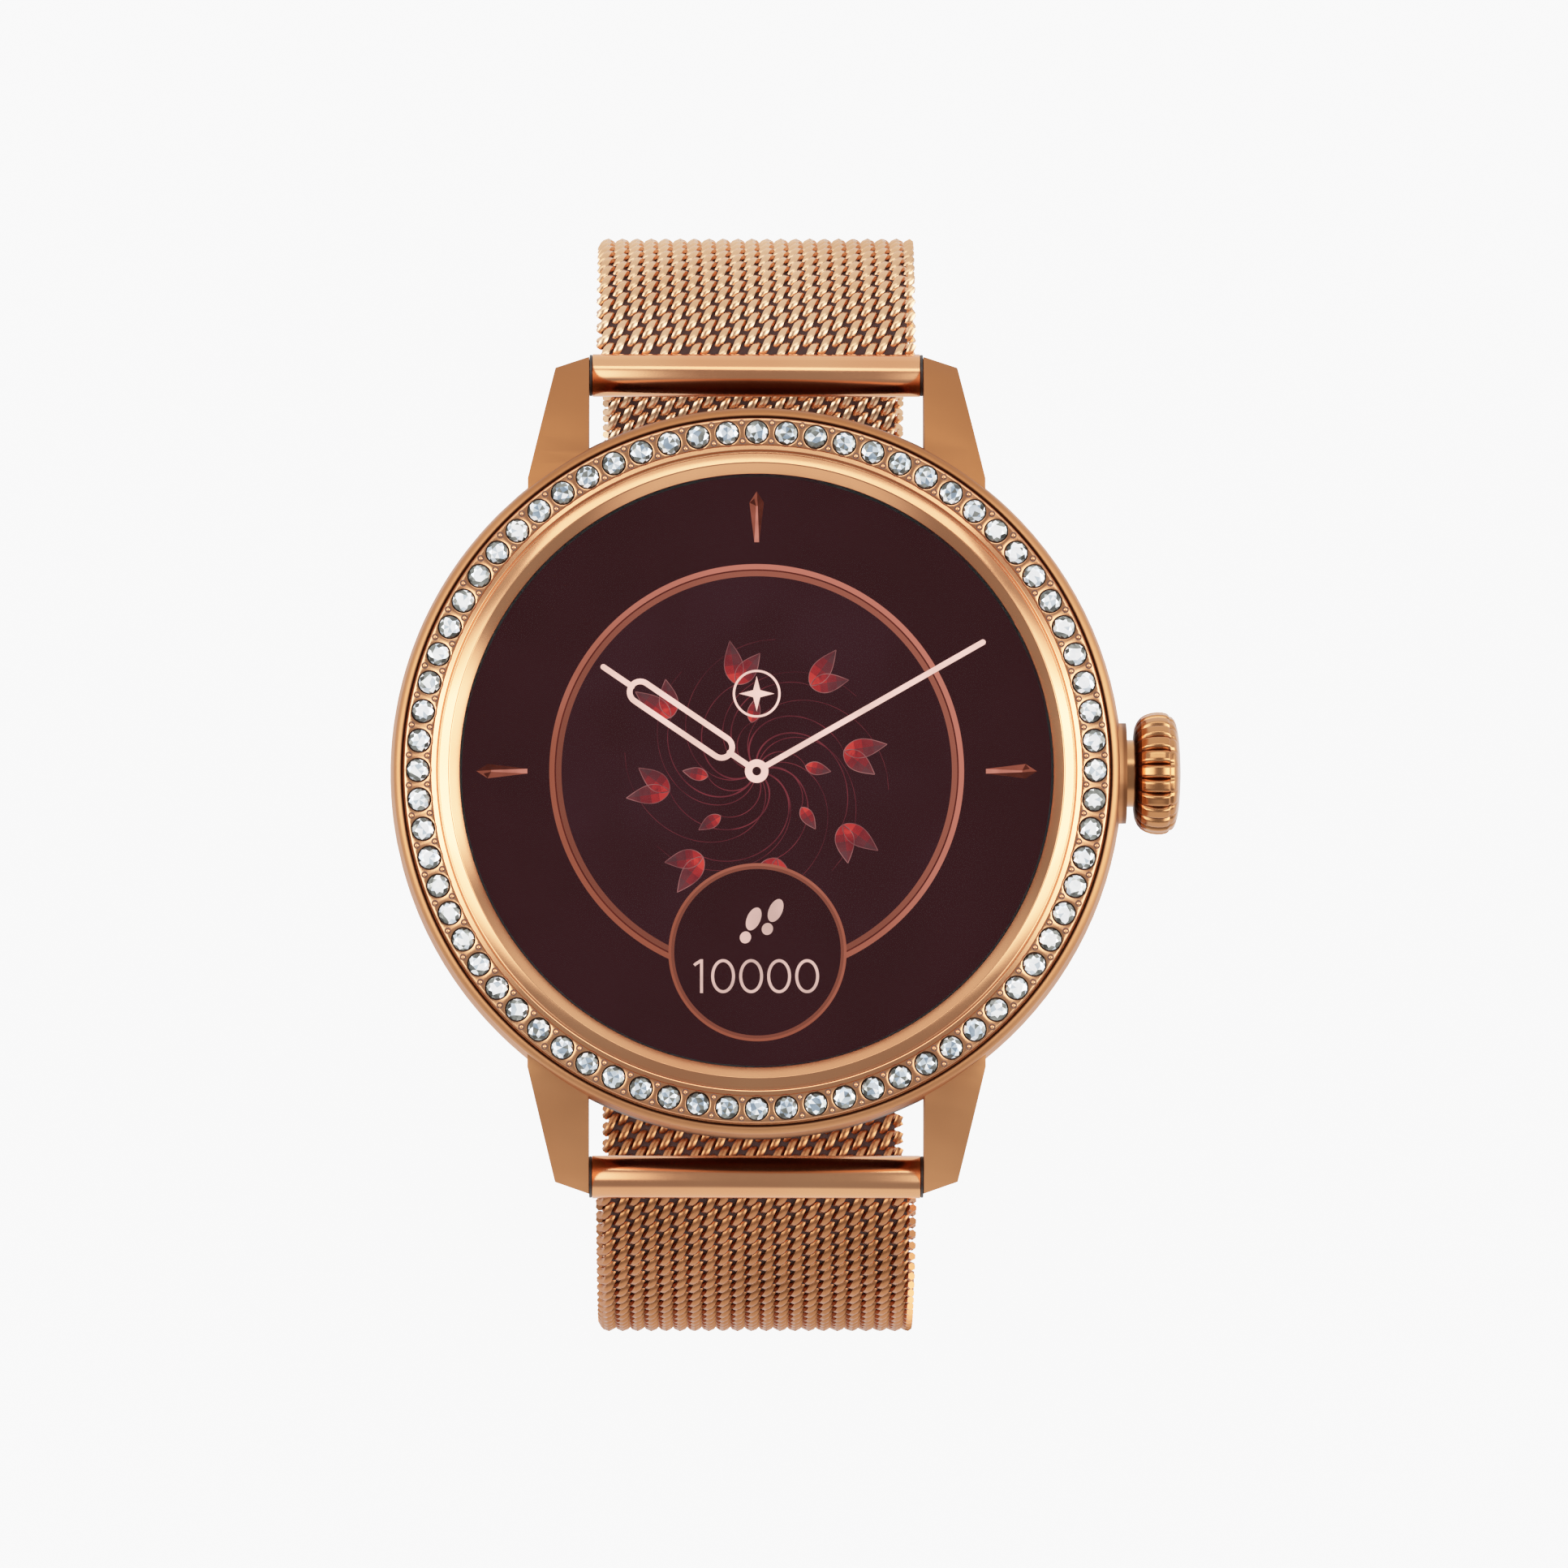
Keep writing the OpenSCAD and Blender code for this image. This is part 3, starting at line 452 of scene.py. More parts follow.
def soften(node, width, segments=3):
    """Rounds a CAD node's edges with modifiers, and leaves its mesh as it is."""
    part = frame["nodes"][node]
    join = part.modifiers.new("join", "WELD")
    join.merge_threshold = 0.0005 * MM
    flatten = part.modifiers.new("flatten", "DECIMATE")
    flatten.decimate_type = "DISSOLVE"
    flatten.angle_limit = math.radians(0.5)
    round_off = part.modifiers.new("round_off", "BEVEL")
    round_off.width = width * MM
    round_off.segments = segments
    round_off.limit_method = "ANGLE"
    round_off.angle_limit = math.radians(32)
    round_off.harden_normals = True
    round_off.use_clamp_overlap = True


def finish_cad_nodes():
    """Gives each CAD node its slot's finish, and the case middle one of its own."""
    for node, part in frame["nodes"].items():
        material = FINISHES.get(SLOT_OF[node])
        if material:
            part.data.materials.clear()
            part.data.materials.append(FINISHES["case_rose"] if node == "mid_case" else material)
    for node, width in SOFT_EDGES.items():
        soften(node, width)


SOFT_EDGES = {"mid_case": 0.12, "clasp_cover": 0.1, "clasp_body": 0.08, "lock_flap": 0.1,
              "upper_end_tube": 0.06, "lower_end_tube": 0.06, "upper_end_loop": 0.08,
              "mesh_tail_tip": 0.1, "rear_cover": 0.08, "sensor_window": 0.05}


# Bezel


def seat_outline(bearing, inner, outer, steps):
    """The outline of one stone's share of the track, as a loop of 4 * steps points."""
    half = 180 / STONE_COUNT
    share = [i / steps for i in range(steps)]
    loop = [polar(inner, bearing - half + 2 * half * s) for s in share]
    loop += [polar(inner + (outer - inner) * s, bearing + half) for s in share]
    loop += [polar(outer, bearing + half - 2 * half * s) for s in share]
    loop += [polar(outer + (inner - outer) * s, bearing - half) for s in share]
    return loop


def track_level(radius):
    """The height of the stone track, which falls a little towards the rim."""
    return TRACK_Z + 0.13 * (STONE_RING_R - radius)


def bezel():
    """The polished ring: a sloped inner edge, a fine groove and a track with a seat for each stone."""
    top, steps = BEZEL_TOP, 8
    inner, outer = STONE_RING_R - 0.71, STONE_RING_R + 0.71
    body = [(inner, track_level(inner)), (inner - 0.03, top - 0.05), (inner - 0.06, top - 0.11),
            (inner - 0.32, top - 0.004), (inner - 0.36, top - 0.02), (inner - 0.42, top - 0.22),
            (inner - 0.49, top - 0.22), (inner - 0.55, top - 0.185), (inner - 1.06, top - 0.012),
            (inner - 1.1, top), (inner - 1.13, top - 0.005)]
    body += [(SCREEN_R + 0.6, top - 0.03), (SCREEN_R + 0.56, top - 0.07),
             (SCREEN_R + 0.03, top - 0.48), (SCREEN_R, top - 0.52),
             (SCREEN_R, top - 0.65), (GLASS_R + 0.1, top - 0.65), (GLASS_R + 0.1, BEZEL_SEAT_Z),
             (BEZEL_R, BEZEL_SEAT_Z), (BEZEL_R, TRACK_Z - 0.16)]
    body += arc((BEZEL_R - 0.1, TRACK_Z - 0.2), 0.1, 0, 70, 4)
    body += [(outer, track_level(outer))]
    shape = Shape()
    shape.add_rings(turned(body, STONE_COUNT * steps))
    rim = STONE_D / 2 + 0.03
    levels = [(rim + 0.05, 0.0), (rim + 0.01, -0.01), (rim, -0.04), (rim, -0.3), (0.12, -0.55)]
    for k in range(STONE_COUNT):
        bearing = 360 * k / STONE_COUNT
        centre = polar(STONE_RING_R, bearing)
        outline = seat_outline(bearing, inner, outer, steps)
        rings = [[(x, y, track_level(math.hypot(x, y))) for x, y in outline]]
        for r, drop in levels:
            ring = []
            for x, y in outline:
                away = Vector((x - centre[0], y - centre[1])).normalized() * r
                px, py = centre[0] + away.x, centre[1] + away.y
                ring.append((px, py, track_level(math.hypot(px, py)) + drop))
            rings.append(ring)
        shape.add_rings(rings[:4])
        # Painted shade: the walls and floor of each stone's seat take the dark seat_shade finish.
        shape.add_rings(rings[3:], 1)
        last = len(shape.points) - 4 * steps
        shape.faces.append(tuple(range(last, last + 4 * steps)))
        shape.tones.append(1)
    finishes = [FINISHES["polished_rose"], FINISHES["seat_shade"]]
    shape.build("bezel_polished", "case", "polished_rose", finishes,
                ["bezel_ring"], 40, 2e-4)


def shoulder():
    """The case's rounded shoulder beside the bezel."""
    r, z = BEZEL_R + 0.17, high("mid_case").z
    profile = [(r - 0.05, z - 0.4), (r - 0.05, z - 0.02)]
    profile += [(x, y) for x, y in reversed(arc((r, z - 0.43), 0.5, 0, 90, 9))]
    profile += [(r + 0.52, z - 0.9), (r + 0.51, z - 1.6), (r + 0.2, z - 1.6)]
    shape = Shape()
    shape.add_rings(turned(profile, 288), closed=True)
    shape.build("case_shoulder", "case", "satin_rose", [FINISHES["case_rose"]], crease=45)


def grains():
    """Two small beads of metal between each pair of stones, which hold them down, each on a dark disc of
    painted shadow.
    """
    bead_r, sunk, sides = 0.155, 0.045, 12
    shape = Shape()
    for k in range(STONE_COUNT):
        for ring_r in (STONE_RING_R - 0.53, STONE_RING_R + 0.56):
            x, y = polar(ring_r, 360 * (k + 0.5) / STONE_COUNT)
            rings = []
            foot = track_level(ring_r)
            # Painted shadow: a dark disc round the foot of each bead.
            plate(shape, arc((x, y), 0.2, 0, 337.5, 16), foot + 0.03, 1)
            for lift in (-0.5, 0.0, 0.35, 0.65, 0.88, 0.98):
                ring_z = foot - sunk + bead_r * lift
                ring_half = bead_r * math.sqrt(1 - lift * lift)
                rings.append([(x + ring_half * math.cos(FULL_TURN * i / sides),
                               y + ring_half * math.sin(FULL_TURN * i / sides), ring_z)
                              for i in range(sides)])
            shape.add_rings(rings, caps=True)
    shape.build("bezel_grains", "case", "polished_rose",
                [FINISHES["polished_rose"], FINISHES["seat_shade"]], crease=60)


def stones():
    """The brilliant-cut stones, whose facets carry painted reflections: each facet gets a fixed tone from
    white to dark, and the stones towards 3 and 9 o'clock get whiter ones.
    """
    tones = [cut_crystal("crystal_white", "ffffff", "f4f6f8", 0.2),
             cut_crystal("crystal_pale", "dce4ec", "c4d0da", 0.4),
             cut_crystal("crystal_blue", "a4b4c4", "8698aa", 0.5),
             cut_crystal("crystal_grey", "8c8e88", "6c6e68", 0.6),
             cut_crystal("crystal_dark", "55554e", "3c3c38", 0.7)]
    pick = random.Random(7)
    shape = Shape()
    girdle_r = STONE_D / 2 - 0.045
    table_z, mid_z, girdle_z = BEZEL_TOP + 0.04, BEZEL_TOP - 0.03, TRACK_Z
    low_z, culet_z = TRACK_Z - 0.12, TRACK_Z - 0.5
    for k in range(STONE_COUNT):
        cx, cy = polar(STONE_RING_R, 360 * k / STONE_COUNT)
        spin = pick.uniform(0, 45)
        # Painted light: stones towards 3 and 9 o'clock get whiter facet tones, where the side lights would
        # catch them.
        painted_side_light = abs(cx) / STONE_RING_R > 0.7
        table_tones = (0, 0, 0, 0, 1) if painted_side_light else (0, 1, 1, 2, 2, 3)
        star_tones = (0, 0, 1, 3) if painted_side_light else (1, 2, 2, 3)

        def ring(radius, z, count, offset=0.0):
            angles = [math.radians(spin + offset + 360 * i / count) for i in range(count)]
            return [(cx + radius * math.cos(a), cy + radius * math.sin(a), z) for a in angles]

        table = ring(girdle_r * 0.58, table_z, 8)
        mids = ring(girdle_r * 0.80, mid_z, 8, 22.5)
        girdle = ring(girdle_r, girdle_z, 16)
        lower = ring(girdle_r, low_z, 16)
        points = table + mids + girdle + lower + [(cx, cy, table_z - 0.03), (cx, cy, culet_z)]
        heart, culet = 48, 49
        for i in range(8):
            n = (i + 1) % 8
            left, right = 16 + 2 * i, 16 + (2 * i + 2) % 16
            shape.add(points, [(heart, i, n)], pick.choice(table_tones))
            shape.add(points, [(i, 8 + i, n)], pick.choice(star_tones))
            shape.add(points, [(i, 8 + (i - 1) % 8, left, 8 + i)], pick.choice((0, 1, 3, 3, 4)))
            shape.add(points, [(8 + i, left, left + 1)], pick.choice((3, 4, 4, 1)))
            shape.add(points, [(8 + i, left + 1, right)], pick.choice((3, 4, 0, 3)))
        for i in range(16):
            n = (i + 1) % 16
            shape.add(points, [(16 + i, 32 + i, 32 + n, 16 + n), (32 + i, culet, 32 + n)], 3)
    join_equal_points(shape)
    shape.build("brilliant_stones", "case", "crystal", tones, ["bezel_stones"], 1)


def join_equal_points(shape):
    """Keeps each point once, where several facets of a stone gave the same one."""
    keys = [tuple(round(v, 6) for v in point) for point in shape.points]
    places, points = {}, []
    for key, point in zip(keys, shape.points):
        if key not in places:
            places[key] = len(points)
            points.append(point)
    shape.faces = [tuple(places[keys[i]] for i in face) for face in shape.faces]
    shape.points = points


# Crown


def crown():
    """The fluted crown on its neck, with painted shade in the flute bottoms and on the inner shoulder."""
    flutes, per_flute = 24, 14
    steps = flutes * per_flute
    edge = CROWN_X
    profile = [(edge - 0.45, 2.0), (edge, 2.0), (edge, 2.35), (edge + 0.06, 2.72),
               (edge + 0.2, 3.05), (edge + 0.42, 3.32), (edge + 0.7, 3.5), (edge + 1.05, 3.61),
               (edge + 1.4, 3.65), (edge + 1.7, 3.64), (edge + 1.95, 3.58), (edge + 2.08, 3.5),
               (edge + 2.12, 3.4), (edge + 2.2, 3.38), (edge + 2.3, 3.34), (edge + 2.42, 3.2),
               (edge + 2.53, 2.95), (edge + 2.62, 2.6), (edge + 2.7, 2.1), (edge + 2.76, 1.4),
               (edge + 2.8, 0.6)]
    rings = []
    for x, radius in profile:
        along = x - edge
        rise = min(1, max(0, (along - 0.05) / 0.5)) * (1 if along < 2.1 else 0.35)
        depth = 0.27 * rise if along < 2.45 else 0.0
        ring = []
        for i in range(steps):
            offset = (i % per_flute) / per_flute - 0.5
            groove = math.exp(-(offset / 0.13) ** 2)
            crest = 0.03 * math.cos(FULL_TURN * offset)
            r = radius - depth * (groove - crest)
            a = FULL_TURN * i / steps
            ring.append((x, r * math.cos(a), CROWN_Z + r * math.sin(a)))
        rings.append(ring)
    shape = Shape()
    shape.add_rings(rings, caps=True)
    # Painted shade: the bottoms of the flutes and the inner shoulder take the dark crown_shade finish.
    for face in range((len(profile) - 1) * steps):
        x = profile[face // steps][0] - edge
        offset = (face % per_flute + 0.5) / per_flute - 0.5
        shape.tones[face] = 1 if abs(offset) < 0.1 and 0 < x < 2.05 or 0 <= x < 0.3 else 0
    shape.build("crown_fluted", "crown", "crown_rose",
                [FINISHES["crown_rose"], FINISHES["crown_shade"]], ["crown_knob"], 50)


# Woven mesh strap


COIL_PITCH = 1.755
ROW_STEP = 0.5975
WIRE_R = 0.245
COIL_ALONG = 0.62
COIL_OUT = MESH_T / 2 - WIRE_R


def collars(name, body, side):
    """A spring bar's two collars, which fill the gaps beside the end tube, coloured near black as painted
    shade for those gaps.
    """
    shape = Shape()
    y = side * BAR_Y
    for x in (9.81, -9.985):
        rings = []
        for along, radius in ((0, 0.5), (0, 1.2), (0.03, 1.24), (0.145, 1.24), (0.175, 1.2), (0.175, 0.5)):
            turns = [FULL_TURN * i / 48 for i in range(48)]
            rings.append([(x + along, y + radius * math.cos(a), BAR_Z + radius * math.sin(a))
                          for a in turns])
        shape.add_rings(rings, closed=True)
    shape.build(name, body, "bright_steel", [FINISHES["collar_steel_shade"]], crease=40)


def strap_route(leave, bend_r, level, end_y):
    """The strap's middle line from its bar, as lengths and (y, z) points for the side towards +Y."""
    top_z = BAR_Z - bend_r * math.cos(math.radians(leave))
    points = arc((STRAP_REACH - bend_r, top_z), bend_r, 90 - leave, 0, 200)
    points += arc((STRAP_REACH - LOW_BEND_R, level + LOW_BEND_R), LOW_BEND_R, 0, -90, 300)
    points.append((end_y, level))
    points = np.array(points)
    lengths = np.concatenate([[0], np.cumsum(np.linalg.norm(np.diff(points, axis=0), axis=1))])
    return lengths, points


def weave(name, node, body, leave, level, end_y, side):
    """Rows of flattened wire coils, each half a pitch from the next, that follow the strap's route."""
    bend_r = (STRAP_REACH - BAR_Y) / (1 - math.sin(math.radians(leave)))
    lengths, route = strap_route(leave, bend_r, level, end_y)
    slopes = np.gradient(route, lengths, axis=0)
    slopes /= np.linalg.norm(slopes, axis=1)[:, None]
    per_turn, sides = 11, 6
    half_w = MESH_W / 2 - WIRE_R
    count = int(2 * half_w / COIL_PITCH * per_turn) + 1
    across = np.linspace(-half_w, half_w, count)
    first_row = TUBE_R + 0.15
    rows = int((lengths[-1] - first_row - COIL_ALONG) / ROW_STEP)
    points, faces = [], []
    for row in range(rows):
        turn = FULL_TURN * (across + half_w) / COIL_PITCH + math.pi * (row % 2)
        row_at = first_row + row * ROW_STEP
        along = row_at - side * COIL_ALONG * np.cos(turn)
        out = COIL_OUT * np.sin(turn)
        y = np.interp(along, lengths, route[:, 0])
        z = np.interp(along, lengths, route[:, 1])
        slope_y = np.interp(along, lengths, slopes[:, 0])
        slope_z = np.interp(along, lengths, slopes[:, 1])
        line = np.stack([across, side * (y - out * slope_z), z + out * slope_y], axis=1)
        axis_y = np.interp(row_at, lengths, route[:, 0])
        axis_z = np.interp(row_at, lengths, route[:, 1])
        ahead = np.gradient(line, axis=0)
        ahead /= np.linalg.norm(ahead, axis=1)[:, None]
        outward = line - np.stack([across, np.full(count, side * axis_y), np.full(count, axis_z)], 1)
        outward -= (outward * ahead).sum(1)[:, None] * ahead
        outward /= np.linalg.norm(outward, axis=1)[:, None]
        beside = np.cross(ahead, outward)
        start = row * count * sides
        angles = FULL_TURN * np.arange(sides) / sides
        tube = (line[:, None, :] + WIRE_R * (np.cos(angles)[None, :, None] * outward[:, None, :]
                                             + np.sin(angles)[None, :, None] * beside[:, None, :]))
        points.append(tube.reshape(-1, 3))
        index = start + np.arange((count - 1) * sides).reshape(count - 1, sides)
        ahead_index = np.roll(index, -1, axis=1)
        faces += np.stack([index, ahead_index, ahead_index + sides, index + sides],
                          axis=2).reshape(-1, 4).tolist()
        faces.append(list(range(start + sides - 1, start - 1, -1)))
        last = start + (count - 1) * sides
        faces.append(list(range(last, last + sides)))
    shape = Shape()
    shape.points = np.concatenate(points).tolist()
    shape.faces = faces
    shape.tones = [0] * len(faces)
    # Painted shade: the lower strap takes the darker copy of the mesh finish.
    finish = "mesh_rose" if side > 0 else "shaded_mesh_rose"
    shape.build(name, body, "mesh_rose", [FINISHES[finish]], [node], 60, 0)
    weave_shade_sheet(name + "_core", body, lengths, route, side)


def weave_shade_sheet(name, body, lengths, route, side):
    """A dark sheet inside the weave that paints the shade seen through its gaps."""
    half_w, half_t = MESH_W / 2 - 0.6, 0.25
    rings = []
    for along in np.arange(TUBE_R, lengths[-1] - 0.6, 0.6):
        y, z = np.interp(along, lengths, route[:, 0]), np.interp(along, lengths, route[:, 1])
        ahead_y = np.interp(along + 0.05, lengths, route[:, 0]) - y
        ahead_z = np.interp(along + 0.05, lengths, route[:, 1]) - z
        long = math.hypot(ahead_y, ahead_z)
        out_y, out_z = -ahead_z / long * half_t, ahead_y / long * half_t
        rings.append([(-half_w, side * (y + out_y), z + out_z), (half_w, side * (y + out_y), z + out_z),
                      (half_w, side * (y - out_y), z - out_z), (-half_w, side * (y - out_y), z - out_z)])
    shape = Shape()
    shape.add_rings(rings, caps=True)
    shape.build(name, body, "mesh_rose", [FINISHES["mesh_shade"]])


# Display


LIT = {
    "face": lit("dial_face", "3c1d21", "391b1e", 0.15),
    "inner": lit("dial_inner", "412228", "3c1d21", 0.15),
    "ivory": lit("dial_ivory", "f7e4de", "f0d8d0"),
    "digit": lit("dial_digit", "e8cfc8", "d8bcb4"),
    "ring_light": lit_ring("dial_ring_light", "cc8674", "a8604a"),
    "ring_dark": lit("dial_ring_dark", "6b2c24", "58221e"),
    "ring_warm": lit_ring("dial_ring_warm", "a86452", "8e5040"),
    "leaf_glow": lit("leaf_glow", "d85048", "c44240", 0.9),
    "leaf_red": lit("leaf_red", "bc3c3c", "a23236", 0.9),
    "leaf_wine": lit("leaf_wine", "9a383c", "822e34", 0.9),
    "leaf_dusk": lit("leaf_dusk", "7e3e42", "6a3238", 0.9),
    "leaf_ash": lit("leaf_ash", "744448", "5e383c", 0.9),
    "leaf_edge": lit("leaf_edge", "b47a78", "8a5254", 0.9),
    "tendril": lit("tendril", "8a3c44", "5c2830", 0.6),
    "dart_light": lit("dart_light", "d49484", "c07a68", 0.8),
    "dart_mid": lit("dart_mid", "a85e4c", "94503e", 0.8),
    "dart_dark": lit("dart_dark", "6b3226", "4c2018", 0.8),
}


def layer(depth):
    """The height of a layer of the picture, given its depth below the glass."""
    return GLASS_UNDER - depth


def ribbon(shape, points, widths, z, tone=0, closed=False):
    """A flat line of changing width through the points."""
    path = [Vector(p) for p in points]
    count = len(path)
    left, right = [], []
    for i, here in enumerate(path):
        before = path[(i - 1) % count] if closed or i else here
        after = path[(i + 1) % count] if closed or i < count - 1 else here
        ahead = (after - before).normalized()
        half = (widths[i] if hasattr(widths, "__len__") else widths) / 2
        side = Vector((-ahead.y, ahead.x)) * half
        left.append((*(here + side), z))
        right.append((*(here - side), z))
    shape.add_rings([left, right], tone, around=closed)


def plate(shape, outline, z, tone=0):
    """A flat face inside an outline."""
    shape.add([(x, y, z) for x, y in outline], [tuple(range(len(outline)))], tone)


def band(shape, centre, inner, outer, z, tone=0, steps=192):
    """A flat ring."""
    rings = []
    for r in (inner, outer):
        turns = [FULL_TURN * i / steps for i in range(steps)]
        rings.append([(centre[0] + r * math.sin(a), centre[1] + r * math.cos(a), z) for a in turns])
    shape.add_rings(rings, tone)


def round_end(shape, centre, radius, z, tone=0):
    """A small flat disc."""
    plate(shape, arc(centre, radius, 0, 345, 24), z, tone)


def line(shape, start, end, width, z, tone=0):
    """A straight line with round ends."""
    ribbon(shape, [start, end], width, z, tone)
    for point in (start, end):
        round_end(shape, point, width / 2, z, tone)


def dial_piece(shape, name, tones, depth=0.0, replaces=()):
    """Builds a layer of the picture, turned to face up."""
    piece = shape.build(name, "case", "display", [LIT[t] for t in tones], replaces, merge=0)
    for polygon in piece.data.polygons:
        if polygon.normal.z < 0:
            polygon.flip()
    piece.data.update()
    return piece


SUB_CENTRE = (0.05, -10.74)
SUB_R = 5.28


def dial_face():
    """The display panel with its picture's ground, and the printed border under the glass."""
    panel_r = high("display_panel").x
    panel_low = low("display_panel").z
    z = layer(0.12)
    shape = Shape()
    inner_r = 11.7
    shape.add_rings(turned([(0.001, z), (inner_r, z)], 192), 1)
    shape.add_rings(turned([(inner_r, z), (panel_r - 0.05, z), (panel_r, z - 0.05),
                            (panel_r, panel_low), (0.001, panel_low)], 192), 0)
    shape.build("dial_panel", "case", "display", [LIT["face"], LIT["inner"]], ["display_panel"])
    border = Shape()
    border.add_rings(turned([(panel_r - 0.25, layer(0.06)), (GLASS_R - 0.05, layer(0.06)),
                             (GLASS_R - 0.05, layer(0.02)), (panel_r - 0.25, layer(0.02))], 192),
                     closed=True)
    border.build("dial_border", "case", "display", [LIT["face"]])


def dial_rings():
    """The large double ring, and the counter's small dial that covers its lower part."""
    shape = Shape()
    z = layer(0.10)
    band(shape, (0, 0), 11.58, 11.90, z, 1)
    band(shape, (0, 0), 11.90, 11.99, z, 2)
    band(shape, (0, 0), 11.99, 12.30, z, 0)
    dial_piece(shape, "dial_ring", ["ring_light", "ring_warm", "ring_dark"])
    shape = Shape()
    z = layer(0.075)
    plate(shape, [(SUB_CENTRE[0] + x, SUB_CENTRE[1] + y)
                  for x, y in arc((0, 0), SUB_R - 0.2, 0, 358, 180)], z, 1)
    band(shape, SUB_CENTRE, SUB_R - 0.34, SUB_R - 0.16, layer(0.07), 2)
    band(shape, SUB_CENTRE, SUB_R - 0.16, SUB_R, layer(0.07), 0)
    dial_piece(shape, "counter_dial", ["ring_light", "face", "ring_warm"])


def leaf(shape, base, bearing, length, width, z):
    """One leaf: two half blades that fade from a glowing foot to a dusky tip, a rib and a thin edge."""
    ahead = Vector(polar(1, bearing))
    side = Vector((-ahead.y, ahead.x))
    steps = 16
    spine = [Vector(base) + ahead * length * i / steps for i in range(steps + 1)]
    bulge = [width * 0.5 * math.sin(math.pi * (i / steps) ** 0.75) for i in range(steps + 1)]
    spread = [s + side * b for s, b in zip(spine, bulge)]
    other = [s - side * b for s, b in zip(spine, bulge)]
    for edge, darker in ((spread, 0), (other, 1)):
        for i in range(steps):
            tone = min(4, int(4.4 * (i + 0.5) / steps) + darker)
            corners = [(*spine[i], z), (*spine[i + 1], z), (*edge[i + 1], z), (*edge[i], z)]
            shape.add(corners, [(0, 1, 2, 3)], tone)
    ribbon(shape, spread, 0.04, z + 0.004, 5)
    ribbon(shape, other, 0.04, z + 0.004, 5)
    ribbon(shape, spine, 0.03, z + 0.004, 4)


def swirl():
    """A plain swirl of tendrils and leaves round the hub, from one spiral rule."""
    leaves, tendrils = Shape(), Shape()
    arms = 8

    def tendril(end, reach, sweep, thick):
        path = [polar(0.5 + (reach - 0.5) * (i / 40) ** 0.9, end - sweep * (1 - i / 40) ** 0.8)
                for i in range(41)]
        ribbon(tendrils, path, [thick * (1 - 0.6 * i / 40) for i in range(41)], layer(0.105))
        return path

    for arm in range(arms):
        end = 360 * arm / arms + 32
        reach = (6.0, 5.3)[arm % 2]
        path = tendril(end, reach, 95 + 15 * (arm % 3), 0.10)
        for tilt, size in ((4, 2.6), (50, 2.3)):
            leaf(leaves, path[-1], end + tilt, size, 1.12, layer(0.10))
        tendril(end - 24, 7.9 - 0.5 * (arm % 2), 130, 0.05)
        if arm % 3 != 1:
            path = tendril(end - 38, 2.9 + 0.5 * (arm % 2), 60, 0.08)
            leaf(leaves, path[-1], end - 20, 1.55, 0.75, layer(0.10))
    tones = ["leaf_glow", "leaf_red", "leaf_wine", "leaf_dusk", "leaf_ash", "leaf_edge"]
    dial_piece(leaves, "swirl_leaves", tones)
    dial_piece(tendrils, "swirl_tendrils", ["tendril"])


def markers():
    """Faceted darts at 12, 3 and 9 o'clock."""
    shape = Shape()
    z = layer(0.10)
    for bearing in (0, 90, 270):
        ahead = Vector(polar(1, bearing))
        side = Vector((-ahead.y, ahead.x))

        def at(radius, offset, lift=0.0):
            return (*(ahead * radius + side * offset), z + lift)

        points = [at(13.6, 0.14), at(13.6, -0.14), at(15.95, 0.43), at(15.95, -0.43),
                  at(16.62, 0), at(15.75, 0.04, 0.03), at(15.75, -0.06, 0.03), at(16.2, 0.14, 0.02)]
        for facet, tone in (((0, 5, 2), 1), ((0, 1, 6, 5), 0), ((1, 3, 6), 2), ((2, 5, 7), 2),
                            ((2, 7, 4), 1), ((5, 6, 4, 7), 1), ((6, 3, 4), 2)):
            shape.add(points, [facet], tone)
    dial_piece(shape, "dart_markers", ["dart_light", "dart_mid", "dart_dark"])


def hands():
    """The minute hand, the hour hand with its open slot, and the hub."""
    shape = Shape()
    bearing, hand_w = 60.3, 0.34
    line(shape, polar(0.6, bearing), polar(15.45, bearing), hand_w, layer(0.035))
    dial_piece(shape, "minute_hand", ["ivory"])
    shape = Shape()
    z = layer(0.045)
    bearing = -55.8
    line(shape, polar(0.6, bearing), polar(1.95, bearing), hand_w, z)
    line(shape, polar(8.95, bearing), polar(11.0, bearing), hand_w, z)
    near, far = Vector(polar(2.52, bearing)), Vector(polar(8.35, bearing))
    angle, slot_r = 90 - bearing, 0.63
    loop = [tuple(near + Vector(p)) for p in arc((0, 0), slot_r, angle + 90, angle + 270, 16)]
    loop += [tuple(far + Vector(p)) for p in arc((0, 0), slot_r, angle - 90, angle + 90, 16)]
    ribbon(shape, loop, hand_w, z, closed=True)
    dial_piece(shape, "hour_hand", ["ivory"])
    shape = Shape()
    band(shape, (0, 0), 0.26, 0.70, layer(0.02), steps=48)
    dial_piece(shape, "hub", ["ivory"])


def star_mark():
    """A plain four-pointed star inside a thin ring."""
    shape = Shape()
    z, centre = layer(0.06), Vector((0, 4.6))
    outline = []
    for i in range(4):
        outline.append(tuple(centre + Vector(polar(1.05, 90 * i))))
        outline.append(tuple(centre + Vector(polar(0.3, 90 * i + 45))))
    shape.add([(*p, z) for p in outline] + [(*centre, z)],
              [(8, i, (i + 1) % 8) for i in range(8)])
    band(shape, centre, 1.28, 1.42, z, steps=96)
    dial_piece(shape, "star_mark", ["ivory"])


